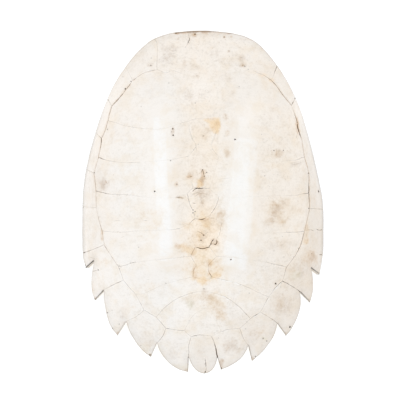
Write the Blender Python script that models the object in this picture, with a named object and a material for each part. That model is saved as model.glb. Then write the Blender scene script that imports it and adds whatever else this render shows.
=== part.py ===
"""Carapace of a giant river turtle: one bare bone shell, dome up, resting on its two sawn bridge edges.

The row frame is in metres: +Z up, +Y towards the head end, origin on the floor under the middle of the shell.
"""

import bpy
import numpy as np
from mathutils.geometry import delaunay_2d_cdt

# Driving dimensions of the dome
CROWN_HEIGHT = 0.140
CROWN_Y = 0.025
FRONT_DROP, FRONT_RUN, FRONT_POWER = 0.094, 0.317, 2.1
REAR_DROP, REAR_RUN, REAR_POWER = 0.106, 0.367, 2.0
SIDE_DROP, SIDE_SPAN = 0.150, 0.256
SIDE_BEND_INSET, SIDE_BEND_POWER = 0.030, 2.8
SUTURE_DEPTH, SUTURE_HALF_WIDTH = 0.0013, 0.0024
PIT_DEPTH, PIT_RADIUS, PIT_SIDES = 0.0022, 0.0019, 6

# Bone thickness
COSTAL_THICKNESS = 0.0065
EDGE_THICKNESS = 0.0048
BRIDGE_THICKNESS = 0.0110
BRIDGE_FADE_HEIGHT = 0.030
PERIPHERAL_SWELL = 0.0035
EDGE_BULGE = 0.0009
FOOT_TOLERANCE = 0.0004

# Backbone and ribs that stand out of the inner face
KEEL_HEIGHT = 0.019
KEEL_CREST_HALF, KEEL_FOOT_HALF = 0.0038, 0.0110
KEEL_JOINT_SWELL, KEEL_JOINT_HALF = 0.0030, 0.0230
KEEL_FRONT_Y, KEEL_REAR_Y, KEEL_FADE = 0.262, -0.238, 0.045
RIB_HEIGHT, RIB_HALF_WIDTH = 0.0028, 0.0095
RIB_HEAD_HEIGHT, RIB_HEAD_REACH = 0.0110, 0.040
BUTTRESS_HEIGHT, BUTTRESS_HALF_WIDTH = 0.0050, 0.0120
PELVIS_SCAR_HEIGHT, PELVIS_SCAR_X, PELVIS_SCAR_Y = 0.0050, 0.056, -0.212
PELVIS_SCAR_WIDTH, PELVIS_SCAR_LENGTH = 0.017, 0.032

# Sizes of the facets
TOP_STEP, SUTURE_STEP, SUTURE_CLEARANCE = 0.0150, 0.0125, 0.0085
INNER_STEP, RIB_STEP, INNER_CLEARANCE = 0.0180, 0.0130, 0.0075
OUTLINE_STEP = 0.0105
CURVE_STEPS = 24
RAY_STEPS, RAY_OVERRUN = 72, 1.02
SLOPE_STEP = 0.0004
CDT_EPSILON = 1e-6

# The smooth rim from the right rear tooth round the head end to the left one: x, y and height of its edge
RIM = [
    (0.2320, -0.1440, 0.012),
    (0.2368, -0.1200, 0.003),
    (0.2400, -0.0950, 0.000),
    (0.2415, -0.0600, 0.000),
    (0.2405, -0.0200, 0.000),
    (0.2375, 0.0130, 0.000),
    (0.2315, 0.0530, 0.000),
    (0.2225, 0.0950, 0.003),
    (0.2115, 0.1350, 0.011),
    (0.1985, 0.1730, 0.023),
    (0.1825, 0.2110, 0.034),
    (0.1625, 0.2500, 0.042),
    (0.1385, 0.2850, 0.047),
    (0.1145, 0.3110, 0.051),
    (0.0945, 0.3250, 0.052),
    (0.0705, 0.3345, 0.053),
    (0.0385, 0.3405, 0.054),
    (0.0005, 0.3420, 0.054),
    (-0.0355, 0.3405, 0.054),
    (-0.0680, 0.3355, 0.053),
    (-0.0985, 0.3240, 0.052),
    (-0.1185, 0.3095, 0.051),
    (-0.1385, 0.2895, 0.048),
    (-0.1555, 0.2670, 0.045),
    (-0.1725, 0.2390, 0.040),
    (-0.1885, 0.2060, 0.032),
    (-0.2035, 0.1690, 0.021),
    (-0.2165, 0.1310, 0.010),
    (-0.2280, 0.0910, 0.002),
    (-0.2355, 0.0530, 0.000),
    (-0.2395, 0.0130, 0.000),
    (-0.2415, -0.0310, 0.000),
    (-0.2410, -0.0750, 0.000),
    (-0.2375, -0.1090, 0.002),
    (-0.2323, -0.1310, 0.009),
]

# Saw teeth of the tail end, left to right. Each has the floor of the notch before it, its bowed edge and its tip.
LEFT_TEETH = [
    {"floor": (-0.2175, -0.1160), "bow": [(-0.2200, -0.1270), (-0.2222, -0.1530), (-0.2200, -0.1770)],
     "tip": (-0.2145, -0.1950), "tip_height": 0.026},
    {"floor": (-0.1980, -0.1750), "bow": [(-0.1975, -0.1950), (-0.1915, -0.2230), (-0.1805, -0.2490)],
     "tip": (-0.1705, -0.2640), "tip_height": 0.042},
    {"floor": (-0.1535, -0.2380), "bow": [(-0.1465, -0.2570), (-0.1325, -0.2790), (-0.1185, -0.2950)],
     "tip": (-0.1040, -0.3080), "tip_height": 0.046},
    {"floor": (-0.0920, -0.2810), "bow": [(-0.0845, -0.2990), (-0.0695, -0.3180), (-0.0495, -0.3320)],
     "tip": (-0.0300, -0.3385), "tip_height": 0.045},
]
PYGAL_FLOORS = [(-0.0285, -0.3100), (0.0290, -0.3100)]
PYGAL_BOW = [(-0.0215, -0.3250), (-0.0105, -0.3370), (0.0025, -0.3420), (0.0155, -0.3370), (0.0245, -0.3250)]
PYGAL_END_HEIGHT = 0.043
RIGHT_TEETH = [
    {"tip": (0.0360, -0.3325), "tip_height": 0.045,
     "bow": [(0.0545, -0.3250), (0.0735, -0.3120), (0.0845, -0.2970)], "floor": (0.0905, -0.2855)},
    {"tip": (0.0980, -0.3160), "tip_height": 0.046,
     "bow": [(0.1155, -0.3030), (0.1315, -0.2860), (0.1435, -0.2660)], "floor": (0.1490, -0.2420)},
    {"tip": (0.1660, -0.2655), "tip_height": 0.042,
     "bow": [(0.1765, -0.2540), (0.1875, -0.2330), (0.1945, -0.2070)], "floor": (0.1940, -0.1790)},
    {"tip": (0.2135, -0.1990), "tip_height": 0.026,
     "bow": [(0.2185, -0.1810), (0.2205, -0.1610), (0.2190, -0.1420)], "floor": (0.2160, -0.1310)},
]

# Places where three bones meet. The first group goes round the dome between costals and peripherals, from the
# nuchal's left corner by the tail to its right corner.
RING = {
    "nuchal_left": (-0.0915, 0.2640),
    "edge_1_left": (-0.1400, 0.2425),
    "edge_2_left": (-0.1820, 0.1920),
    "costal_1_left": (-0.1895, 0.1635),
    "edge_3_left": (-0.2030, 0.1270),
    "costal_2_left": (-0.2085, 0.0890),
    "edge_4_left": (-0.2175, 0.0580),
    "costal_3_left": (-0.2135, 0.0225),
    "edge_5_left": (-0.2130, -0.0110),
    "costal_4_left": (-0.2010, -0.0570),
    "edge_6_left": (-0.1970, -0.0850),
    "costal_5_left": (-0.1685, -0.1280),
    "edge_7_left": (-0.1585, -0.1555),
    "costal_6_left": (-0.1345, -0.1830),
    "edge_8_left": (-0.1175, -0.2150),
    "costal_7_left": (-0.0925, -0.2300),
    "edge_9_left": (-0.0735, -0.2515),
    "suprapygal_left": (-0.0370, -0.2560),
    "pygal_left": (-0.0235, -0.2680),
    "pygal_right": (0.0170, -0.2670),
    "suprapygal_right": (0.0370, -0.2580),
    "edge_9_right": (0.0735, -0.2520),
    "costal_7_right": (0.0945, -0.2320),
    "edge_8_right": (0.1145, -0.2190),
    "costal_6_right": (0.1305, -0.1890),
    "edge_7_right": (0.1585, -0.1570),
    "costal_5_right": (0.1665, -0.1290),
    "edge_6_right": (0.1945, -0.0870),
    "costal_4_right": (0.2025, -0.0580),
    "edge_5_right": (0.2125, -0.0130),
    "costal_3_right": (0.2115, 0.0180),
    "edge_4_right": (0.2120, 0.0570),
    "costal_2_right": (0.2025, 0.0900),
    "edge_3_right": (0.1975, 0.1230),
    "costal_1_right": (0.1890, 0.1570),
    "edge_2_right": (0.1765, 0.1930),
    "edge_1_right": (0.1365, 0.2430),
    "nuchal_right": (0.0980, 0.2640),
}
MIDLINE = {
    "neural_1_left": (-0.0160, 0.2500),
    "neural_1_right": (0.0180, 0.2500),
    "neural_2_left": (-0.0135, 0.1660),
    "neural_2_right": (0.0190, 0.1660),
    "neural_3_left": (-0.0125, 0.1120),
    "neural_3_right": (0.0170, 0.1130),
    "corner_2_left": (-0.0295, 0.0910),
    "corner_2_right": (0.0310, 0.0910),
    "neural_4_left": (-0.0200, 0.0280),
    "neural_4_right": (0.0130, 0.0270),
    "corner_3_left": (-0.0315, 0.0170),
    "corner_3_right": (0.0310, 0.0110),
    "neural_5_left": (-0.0180, -0.0270),
    "neural_5_right": (0.0130, -0.0270),
    "corner_4_left": (-0.0265, -0.0430),
    "corner_4_right": (0.0365, -0.0400),
    "neural_6_left": (-0.0150, -0.0890),
    "neural_6_right": (0.0130, -0.0890),
    "corner_5_left": (-0.0245, -0.1075),
    "corner_5_right": (0.0270, -0.1080),
    "neural_7_left": (-0.0130, -0.1260),
    "neural_7_right": (0.0105, -0.1250),
    "corner_6_left": (-0.0195, -0.1490),
    "corner_6_right": (0.0180, -0.1490),
    "neural_7_end": (-0.0010, -0.1540),
    "costal_8_top": (0.0010, -0.1770),
    "suprapygal_top": (0.0005, -0.2140),
}

# Sutures inside the ring: from one meeting place, through points between, to another
INNER_SUTURES = [
    ("nuchal_left", [(-0.0735, 0.2580), (-0.0450, 0.2560)], "neural_1_left"),
    ("neural_1_left", [], "neural_1_right"),
    ("neural_1_right", [(0.0480, 0.2555), (0.0745, 0.2610)], "nuchal_right"),
    ("neural_1_left", [(-0.0250, 0.2140)], "neural_2_left"),
    ("neural_1_right", [(0.0300, 0.2120)], "neural_2_right"),
    ("neural_2_left", [], "neural_2_right"),
    ("neural_2_left", [(-0.0270, 0.1510), (-0.0215, 0.1290)], "neural_3_left"),
    ("neural_2_right", [(0.0290, 0.1500), (0.0210, 0.1290)], "neural_3_right"),
    ("neural_3_left", [], "neural_3_right"),
    ("neural_3_left", [], "corner_2_left"),
    ("neural_3_right", [], "corner_2_right"),
    ("corner_2_left", [(-0.0270, 0.0600)], "neural_4_left"),
    ("corner_2_right", [(0.0240, 0.0600)], "neural_4_right"),
    ("neural_4_left", [(-0.0040, 0.0310)], "neural_4_right"),
    ("neural_4_left", [], "corner_3_left"),
    ("neural_4_right", [], "corner_3_right"),
    ("corner_3_left", [(-0.0265, -0.0030)], "neural_5_left"),
    ("corner_3_right", [(0.0240, -0.0110)], "neural_5_right"),
    ("neural_5_left", [(-0.0020, -0.0320)], "neural_5_right"),
    ("neural_5_left", [], "corner_4_left"),
    ("neural_5_right", [], "corner_4_right"),
    ("corner_4_left", [(-0.0250, -0.0680)], "neural_6_left"),
    ("corner_4_right", [(0.0320, -0.0650)], "neural_6_right"),
    ("neural_6_left", [(-0.0010, -0.0915)], "neural_6_right"),
    ("neural_6_left", [], "corner_5_left"),
    ("neural_6_right", [], "corner_5_right"),
    ("corner_5_left", [], "neural_7_left"),
    ("corner_5_right", [], "neural_7_right"),
    ("neural_7_left", [], "neural_7_right"),
    ("neural_7_left", [(-0.0190, -0.1370)], "corner_6_left"),
    ("neural_7_right", [(0.0160, -0.1370)], "corner_6_right"),
    ("corner_6_left", [], "neural_7_end"),
    ("neural_7_end", [], "corner_6_right"),
    ("neural_7_end", [], "costal_8_top"),
    ("costal_8_top", [], "suprapygal_top"),
    ("suprapygal_top", [(-0.0150, -0.2210), (-0.0275, -0.2370)], "suprapygal_left"),
    ("suprapygal_top", [(0.0140, -0.2200), (0.0270, -0.2390)], "suprapygal_right"),
    ("costal_1_left", [(-0.1495, 0.1510), (-0.0895, 0.1475), (-0.0460, 0.1560)], "neural_2_left"),
    ("costal_1_right", [(0.1480, 0.1480), (0.0900, 0.1480), (0.0500, 0.1560)], "neural_2_right"),
    ("costal_2_left", [(-0.1755, 0.0820), (-0.1035, 0.0790), (-0.0600, 0.0850)], "corner_2_left"),
    ("costal_2_right", [(0.1745, 0.0840), (0.1050, 0.0790), (0.0620, 0.0850)], "corner_2_right"),
    ("costal_3_left", [(-0.1855, 0.0170), (-0.1015, 0.0110), (-0.0600, 0.0090)], "corner_3_left"),
    ("costal_3_right", [(0.1865, 0.0140), (0.1145, 0.0120), (0.0620, 0.0090)], "corner_3_right"),
    ("costal_4_left", [(-0.1715, -0.0590), (-0.1000, -0.0560), (-0.0550, -0.0530)], "corner_4_left"),
    ("costal_4_right", [(0.1745, -0.0600), (0.1100, -0.0610), (0.0650, -0.0520)], "corner_4_right"),
    ("costal_5_left", [(-0.1335, -0.1190), (-0.0855, -0.1125)], "corner_5_left"),
    ("costal_5_right", [(0.1145, -0.1170), (0.0745, -0.1100)], "corner_5_right"),
    ("costal_6_left", [(-0.0855, -0.1650), (-0.0555, -0.1560)], "corner_6_left"),
    ("costal_6_right", [(0.0845, -0.1670), (0.0585, -0.1570)], "corner_6_right"),
    ("costal_7_left", [(-0.0655, -0.2030), (-0.0455, -0.1890), (-0.0215, -0.1790)], "costal_8_top"),
    ("costal_7_right", [(0.0745, -0.2130), (0.0545, -0.1950), (0.0345, -0.1830)], "costal_8_top"),
]

# Sutures between peripherals: from the ring, through points between, to a place on the outline
EDGE_SUTURES = [
    ("nuchal_left", [(-0.0912, 0.3130)], (-0.0970, 0.3247)),
    ("edge_1_left", [], (-0.1535, 0.2700)),
    ("edge_2_left", [], (-0.1890, 0.2048)),
    ("edge_3_left", [], (-0.2140, 0.1390)),
    ("edge_4_left", [], (-0.2333, 0.0650)),
    ("edge_5_left", [], (-0.2407, -0.0090)),
    ("edge_6_left", [(-0.2160, -0.0930)], (-0.2385, -0.1020)),
    ("edge_7_left", [(-0.1820, -0.1660)], (-0.1980, -0.1750)),
    ("edge_8_left", [(-0.1350, -0.2310)], (-0.1535, -0.2380)),
    ("edge_9_left", [(-0.0830, -0.2700)], (-0.0920, -0.2810)),
    ("pygal_left", [(-0.0280, -0.2900)], (-0.0285, -0.3100)),
    ("pygal_right", [(0.0250, -0.2880)], (0.0290, -0.3100)),
    ("edge_9_right", [(0.0840, -0.2720)], (0.0905, -0.2855)),
    ("edge_8_right", [(0.1340, -0.2310)], (0.1490, -0.2420)),
    ("edge_7_right", [(0.1840, -0.1700)], (0.1940, -0.1790)),
    ("edge_6_right", [(0.2140, -0.0990)], (0.2392, -0.1040)),
    ("edge_5_right", [], (0.2400, -0.0140)),
    ("edge_4_right", [], (0.2293, 0.0650)),
    ("edge_3_right", [], (0.2135, 0.1280)),
    ("edge_2_right", [], (0.1835, 0.2085)),
    ("edge_1_right", [], (0.1480, 0.2720)),
    ("nuchal_right", [(0.1040, 0.2960)], (0.1085, 0.3160)),
]

# Ribs on the inner face, mirrored left and right: where each leaves the backbone, and where it meets the ring
RIBS = [
    (0.205, (0.168, 0.208)),
    (0.129, (0.198, 0.126)),
    (0.054, (0.214, 0.056)),
    (-0.013, (0.211, -0.014)),
    (-0.075, (0.188, -0.092)),
    (-0.130, (0.152, -0.158)),
    (-0.165, (0.114, -0.212)),
    (-0.195, (0.070, -0.244)),
]

# Buttress scars on the inner face, mirrored left and right: from the bridge up on to a costal
BUTTRESSES = [
    [(0.214, 0.098), (0.190, 0.130), (0.158, 0.150)],
    [(0.221, -0.112), (0.190, -0.116), (0.152, -0.104)],
]

# Cracks that run in from the edge, and small pits in the outer face
CRACKS = [
    [(-0.0280, 0.3408), (-0.0265, 0.3255), (-0.0337, 0.3087)],
    [(0.0025, -0.3420), (0.0062, -0.3290), (0.0042, -0.3098)],
]
PITS = [
    (-0.0960, 0.0217), (0.0640, 0.1240), (-0.0593, 0.1455), (-0.0587, 0.1333), (0.0015, 0.1320), (0.1420, 0.1015),
    (0.1607, 0.1021), (0.1235, 0.0515), (0.0465, 0.1700), (0.0229, -0.0809), (0.0553, -0.1145), (0.2325, 0.0217),
    (-0.1225, 0.1900), (-0.1273, -0.0897), (-0.0480, 0.0085),
]

BONE_COLOUR = (0.86, 0.81, 0.74, 1.0)
BONE_ROUGHNESS = 0.38


def curve_through(points, spacing):
    """A smooth line through the points, cut into even steps of about the spacing. Both ends are kept."""
    points = np.asarray(points, float)
    if len(points) > 2:
        padded = np.vstack([2 * points[0] - points[1], points, 2 * points[-1] - points[-2]])
        share = np.linspace(0, 1, CURVE_STEPS, endpoint=False)[:, None]
        pieces = []
        for a, b, c, d in zip(padded, padded[1:], padded[2:], padded[3:]):
            bend = (2 * a - 5 * b + 4 * c - d) * share**2 + (3 * b - a - 3 * c + d) * share**3
            pieces.append(0.5 * (2 * b + (c - a) * share + bend))
        points = np.vstack([*pieces, points[-1:]])
    reach = np.append(0, np.cumsum(np.linalg.norm(np.diff(points, axis=0), axis=1)))
    stops = np.linspace(0, reach[-1], max(1, round(reach[-1] / spacing)) + 1)
    return np.column_stack([np.interp(stops, reach, column) for column in points.T])


def by_angle(loop):
    """Angle round the origin, distance from it and any height of a closed loop's points, sorted by angle."""
    loop = curve_through(np.vstack([loop, loop[:1]]), OUTLINE_STEP / 4)[:-1]
    angle = np.arctan2(loop[:, 1], loop[:, 0])
    order = np.argsort(angle)
    return angle[order], np.linalg.norm(loop[order, :2], axis=1), loop[order, 2:]


def tooth_tips(teeth):
    return [(*tooth["tip"], tooth["tip_height"]) for tooth in teeth]


PYGAL_END = (*PYGAL_BOW[len(PYGAL_BOW) // 2], PYGAL_END_HEIGHT)
ENVELOPE = by_angle(np.array([*RIM, *tooth_tips(LEFT_TEETH), PYGAL_END, *tooth_tips(RIGHT_TEETH)]))
RING_CURVE = by_angle(np.array([*RING.values(), (0.0745, 0.2600), (0.0, 0.2530), (-0.0735, 0.2590)]))


def smoothstep(low, high, value):
    share = np.clip((value - low) / (high - low), 0, 1)
    return share * share * (3 - 2 * share)


def dome_height(x, y):
    """The dome without its rim: a spine curve lowered by one barrel-shaped cross-section."""
    ahead = np.maximum(y - CROWN_Y, 0)
    behind = np.maximum(CROWN_Y - y, 0)
    spine = CROWN_HEIGHT - FRONT_DROP * (ahead / FRONT_RUN) ** FRONT_POWER
    spine -= REAR_DROP * (behind / REAR_RUN) ** REAR_POWER
    across = np.minimum(np.abs(x) / SIDE_SPAN, 0.999)
    return spine - SIDE_DROP * (1 - np.sqrt(1 - across**2))


def around(x, y):
    """Distance of a plan point from the origin, then that of the ring, that of the rim and the rim's height there."""
    angle = np.arctan2(y, x)
    ring = np.interp(angle, RING_CURVE[0], RING_CURVE[1], period=2 * np.pi)
    rim = np.interp(angle, ENVELOPE[0], ENVELOPE[1], period=2 * np.pi)
    rim_height = np.interp(angle, ENVELOPE[0], ENVELOPE[2][:, 0], period=2 * np.pi)
    return np.hypot(x, y), ring, rim, rim_height


def outer_height(x, y):
    """Height of the outer face over a plan point: the dome, bent down or up near the ring to meet the rim."""
    distance, ring, rim, rim_height = around(x, y)
    bend_start = ring - SIDE_BEND_INSET
    bend = np.clip((distance - bend_start) / (rim - bend_start), 0, 1) ** SIDE_BEND_POWER
    outwards = rim / np.maximum(distance, 1e-9)
    height = dome_height(x, y) + bend * (rim_height - dome_height(x * outwards, y * outwards))
    return np.where(height < FOOT_TOLERANCE, 0, height)


def outer_normal(x, y):
    slope_x = (outer_height(x + SLOPE_STEP, y) - outer_height(x - SLOPE_STEP, y)) / (2 * SLOPE_STEP)
    slope_y = (outer_height(x, y + SLOPE_STEP) - outer_height(x, y - SLOPE_STEP)) / (2 * SLOPE_STEP)
    normal = np.column_stack([-slope_x, -slope_y, np.ones_like(slope_x)])
    return normal / np.linalg.norm(normal, axis=1)[:, None]


def gap_to_line(points, line):
    """Distance of each point from a line of straight pieces, and how far along the line its nearest place is."""
    start, along = line[:-1], np.diff(line, axis=0)
    length = np.linalg.norm(along, axis=1)
    offset = points[:, None] - start[None]
    share = np.clip((offset * along).sum(axis=2) / length**2, 0, 1)
    gap = np.linalg.norm(offset - share[..., None] * along, axis=2)
    nearest = gap.argmin(axis=1)
    rows = np.arange(len(points))
    reach = np.append(0, np.cumsum(length))[nearest] + share[rows, nearest] * length[nearest]
    return gap[rows, nearest], reach


def rib_lines():
    lines = []
    for inner_y, (outer_x, outer_y) in RIBS:
        for side in (-1, 1):
            middle = (0.5 * side * outer_x, 0.62 * inner_y + 0.38 * outer_y)
            lines.append(curve_through([(0, inner_y), middle, (side * outer_x, outer_y)], RIB_STEP))
    return lines


def rib_thickness(points):
    """Extra bone under each costal's rib: a low ridge that climbs to the backbone at its head."""
    extra = np.zeros(len(points))
    for line in rib_lines():
        gap, reach = gap_to_line(points, line)
        height = RIB_HEIGHT + RIB_HEAD_HEIGHT * (1 - smoothstep(0, RIB_HEAD_REACH, reach))
        extra = np.maximum(extra, height * (1 - smoothstep(0, RIB_HALF_WIDTH, gap)))
    return extra


def joint_swell(y):
    """How much wider the backbone is at a place along it: its segments swell at their joints, by the ribs."""
    swell = np.zeros_like(y)
    for inner_y, _ in RIBS:
        swell = np.maximum(swell, 1 - smoothstep(0, KEEL_JOINT_HALF, np.abs(y - inner_y)))
    return KEEL_JOINT_SWELL * swell


def keel_thickness(x, y):
    """Extra bone of the backbone along the inner midline."""
    across = np.abs(x) - joint_swell(y)
    across = 1 - smoothstep(KEEL_CREST_HALF, KEEL_FOOT_HALF, across)
    ends = smoothstep(KEEL_REAR_Y, KEEL_REAR_Y + KEEL_FADE, y)
    ends *= 1 - smoothstep(KEEL_FRONT_Y - KEEL_FADE, KEEL_FRONT_Y, y)
    return KEEL_HEIGHT * across * ends


def scar_thickness(x, y):
    """Extra bone where the bridge buttresses and the pelvis were joined to the inner face."""
    points = np.column_stack([np.abs(x), y])
    extra = np.zeros(len(points))
    for line in BUTTRESSES:
        gap, _ = gap_to_line(points, curve_through(line, INNER_STEP))
        extra = np.maximum(extra, BUTTRESS_HEIGHT * (1 - smoothstep(0, BUTTRESS_HALF_WIDTH, gap)))
    offset = np.hypot((points[:, 0] - PELVIS_SCAR_X) / PELVIS_SCAR_WIDTH, (y - PELVIS_SCAR_Y) / PELVIS_SCAR_LENGTH)
    return np.maximum(extra, PELVIS_SCAR_HEIGHT * (1 - smoothstep(0.35, 1, offset)))


def thickness(x, y):
    """Bone thickness under a plan point, square to the outer face."""
    distance, ring, rim, rim_height = around(x, y)
    share = np.clip((distance - ring) / (rim - ring), 0, 1)
    edge = BRIDGE_THICKNESS + (EDGE_THICKNESS - BRIDGE_THICKNESS) * smoothstep(0, BRIDGE_FADE_HEIGHT, rim_height)
    wall = COSTAL_THICKNESS + (edge - COSTAL_THICKNESS) * share**2
    wall += 4 * PERIPHERAL_SWELL * share * (1 - share)
    inner = (1 - share) ** 2
    ridges = inner * np.maximum(keel_thickness(x, y), rib_thickness(np.column_stack([x, y])))
    return wall + np.maximum(ridges, scar_thickness(x, y))


def rays_along_bone(angle):
    """For each direction from the origin, plan distances out past the rim, and the lengths along the bone."""
    rim = np.interp(angle, ENVELOPE[0], ENVELOPE[1], period=2 * np.pi)
    plan = rim[:, None] * np.linspace(0, RAY_OVERRUN, RAY_STEPS)
    height = outer_height(plan * np.cos(angle)[:, None], plan * np.sin(angle)[:, None])
    pieces = np.hypot(np.diff(plan, axis=1), np.diff(height, axis=1))
    return plan, np.column_stack([np.zeros(len(plan)), np.cumsum(pieces, axis=1)])


def unrolled(points):
    """Plan points moved outwards, so that distances on the flat are about those along the sloping bone."""
    angle = np.arctan2(points[:, 1], points[:, 0])
    plan, bone = rays_along_bone(angle)
    reach = np.array([np.interp(*row) for row in zip(np.hypot(*points.T), plan, bone)])
    return np.column_stack([reach * np.cos(angle), reach * np.sin(angle)])


def rolled_back(points):
    """The plan points that unroll to the given flat ones."""
    angle = np.arctan2(points[:, 1], points[:, 0])
    plan, bone = rays_along_bone(angle)
    reach = np.array([np.interp(*row) for row in zip(np.hypot(*points.T), bone, plan)])
    return np.column_stack([reach * np.cos(angle), reach * np.sin(angle)])


def inside_loop(points, loop):
    """True for the points inside a closed loop."""
    inside = np.zeros(len(points), bool)
    for (x0, y0), (x1, y1) in zip(loop, np.roll(loop, -1, axis=0)):
        crosses = (y0 > points[:, 1]) != (y1 > points[:, 1])
        if crosses.any():
            inside ^= crosses & (points[:, 0] < x0 + (points[:, 1] - y0) * (x1 - x0) / (y1 - y0 + 1e-15))
    return inside


def outline():
    """The whole edge in plan, anticlockwise from the right rear tooth's tip, with sharp tips and notches."""
    runs = [[point[:2] for point in RIM]]
    for tooth in LEFT_TEETH:
        runs += [[runs[-1][-1], tooth["floor"]], [tooth["floor"], *tooth["bow"], tooth["tip"]]]
    runs += [[runs[-1][-1], PYGAL_FLOORS[0]], [PYGAL_FLOORS[0], *PYGAL_BOW, PYGAL_FLOORS[1]]]
    for tooth in RIGHT_TEETH:
        runs += [[runs[-1][-1], tooth["tip"]], [tooth["tip"], *tooth["bow"], tooth["floor"]]]
    runs.append([runs[-1][-1], RIM[0][:2]])
    edge = np.vstack([curve_through(run, OUTLINE_STEP)[:-1] for run in runs])
    for end in [*[end for _, _, end in EDGE_SUTURES], *[crack[0] for crack in CRACKS]]:
        edge[np.linalg.norm(edge - end, axis=1).argmin()] = end
    return edge


def suture_lines():
    """Every suture as a line of plan points whose ends are shared with the sutures that it meets."""
    places = {**RING, **MIDLINE}
    names = list(RING)
    lines = [[places[a], places[b]] for a, b in zip(names, names[1:])]
    lines += [[places[a], *between, places[b]] for a, between, b in INNER_SUTURES]
    lines += [[places[a], *between, end] for a, between, end in EDGE_SUTURES]
    lines += CRACKS
    stepped = []
    for line in lines:
        plan = rolled_back(curve_through(unrolled(np.array(line)), SUTURE_STEP))
        plan[0], plan[-1] = line[0], line[-1]
        stepped.append(plan)
    return stepped


def shoulders(edge, lines, half_width):
    """Plan points on both sides of every line, and in each angle between the lines that meet at a place."""
    flat_lines = [unrolled(line) for line in lines]
    flat_edge = unrolled(edge)
    candidates, spokes = [], {}
    for line in flat_lines:
        along = np.gradient(line, axis=0)
        along /= np.linalg.norm(along, axis=1)[:, None]
        across = half_width * np.column_stack([-along[:, 1], along[:, 0]])
        candidates += [*(line + across)[1:-1], *(line - across)[1:-1]]
        for end, direction in ((line[0], along[0]), (line[-1], -along[-1])):
            spokes.setdefault(tuple(end.round(6)), []).append(np.arctan2(direction[1], direction[0]))
    for place, angles in spokes.items():
        angles = sorted(angles)
        for first, second in zip(angles, [*angles[1:], angles[0] + 2 * np.pi]):
            opening = second - first
            if opening > np.pi * 1.5:
                turns = [first + np.pi / 2, second - np.pi / 2]
            else:
                turns = [0.5 * (first + second)]
            reach = half_width / max(np.sin(min(opening, np.pi) / 2), 0.35)
            for turn in turns:
                candidates.append(np.array(place) + reach * np.array([np.cos(turn), np.sin(turn)]))
    candidates = np.array(candidates)
    candidates = candidates[inside_loop(candidates, flat_edge)]
    for line in [np.vstack([flat_edge, flat_edge[:1]]), *flat_lines]:
        candidates = candidates[gap_to_line(candidates, line)[0] > 0.8 * half_width]
    kept = []
    for point in candidates:
        if not kept or np.linalg.norm(np.array(kept) - point, axis=1).min() > 0.8 * half_width:
            kept.append(point)
    return rolled_back(np.array(kept))


def meshed(edge, lines, beside, step, clearance):
    """Plan points and triangles that fill the edge, with each line kept as edges and the points beside it kept.

    The rest of the area is filled with points about a step apart, no nearer to a line than the clearance.
    """
    flat_edge = unrolled(edge)
    reach = np.abs(flat_edge).max() + step
    rows = np.arange(-reach, reach, step * np.sqrt(3) / 2)
    grid = []
    for index, y in enumerate(rows):
        columns = np.arange(-reach, reach, step) + (index % 2) * step / 2
        grid.append(np.column_stack([columns, np.full(len(columns), y)]))
    fill = np.vstack(grid)
    fill = fill[inside_loop(fill, flat_edge)]
    closed_edge = np.vstack([flat_edge, flat_edge[:1]])
    for line in [closed_edge, *[unrolled(line) for line in lines]]:
        fill = fill[gap_to_line(fill, line)[0] > clearance]
    for point in unrolled(beside):
        fill = fill[np.linalg.norm(fill - point, axis=1) > clearance * 0.8]
    plan, index_of = [*map(tuple, edge)], {}
    for index, point in enumerate(plan):
        index_of[point] = index
    chains = []
    for line in lines:
        chain = []
        for point in map(tuple, line):
            if point not in index_of:
                index_of[point] = len(plan)
                plan.append(point)
            chain.append(index_of[point])
        chains += zip(chain, chain[1:])
    on_lines = len(plan)
    plan = np.vstack([plan, beside, rolled_back(fill)])
    flat = unrolled(plan)
    made = delaunay_2d_cdt(flat.tolist(), chains, [list(range(len(edge)))], 1, CDT_EPSILON)
    if len(made[0]) != len(plan):
        raise ValueError("two lines cross, or two points coincide, in the plan of the shell")
    original = [sources[0] for sources in made[3]]
    triangles = [[original[corner] for corner in face] for face in made[2]]
    return plan, triangles, on_lines


def outer_face(edge):
    """Outer face: the dome, with each suture a shallow valley between two bones."""
    lines = suture_lines()
    pits = np.array(PITS)
    turns = np.arange(PIT_SIDES) * 2 * np.pi / PIT_SIDES
    brims = PIT_RADIUS * np.column_stack([np.cos(turns), np.sin(turns)])
    beside = np.vstack([pits, (pits[:, None] + brims).reshape(-1, 2), shoulders(edge, lines, SUTURE_HALF_WIDTH)])
    plan, triangles, on_lines = meshed(edge, lines, beside, TOP_STEP, SUTURE_CLEARANCE)
    x, y = plan.T
    depth = np.zeros(len(plan))
    depth[len(edge):on_lines] = SUTURE_DEPTH
    for crack in CRACKS:
        depth[np.linalg.norm(plan - crack[-1], axis=1).argmin()] = 0
    depth[on_lines:on_lines + len(pits)] = PIT_DEPTH
    points = np.column_stack([x, y, outer_height(x, y)])
    return points - depth[:, None] * outer_normal(x, y), triangles


def inner_guides():
    """Lines that the inner face's facets follow: crest and foot of the backbone, and the ribs outside it."""
    stops = curve_through([(KEEL_REAR_Y,), (KEEL_FRONT_Y,)], RIB_STEP)[:, 0]
    swell = joint_swell(stops)
    lines = []
    for half in (KEEL_CREST_HALF, KEEL_FOOT_HALF):
        lines += [np.column_stack([side * (half + swell), stops]) for side in (-1, 1)]
    for line in rib_lines():
        outside = np.abs(line[:, 0]) > KEEL_FOOT_HALF + KEEL_JOINT_SWELL + INNER_CLEARANCE / 2
        lines.append(line[outside])
    return lines


def under(x, y, depth_share=1.0):
    """The point that lies a share of the bone's thickness below the outer face."""
    point = np.column_stack([x, y, outer_height(x, y)])
    point -= outer_normal(x, y) * (thickness(x, y) * depth_share)[:, None]
    point[:, 2] = np.maximum(point[:, 2], 0)
    return point


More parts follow.
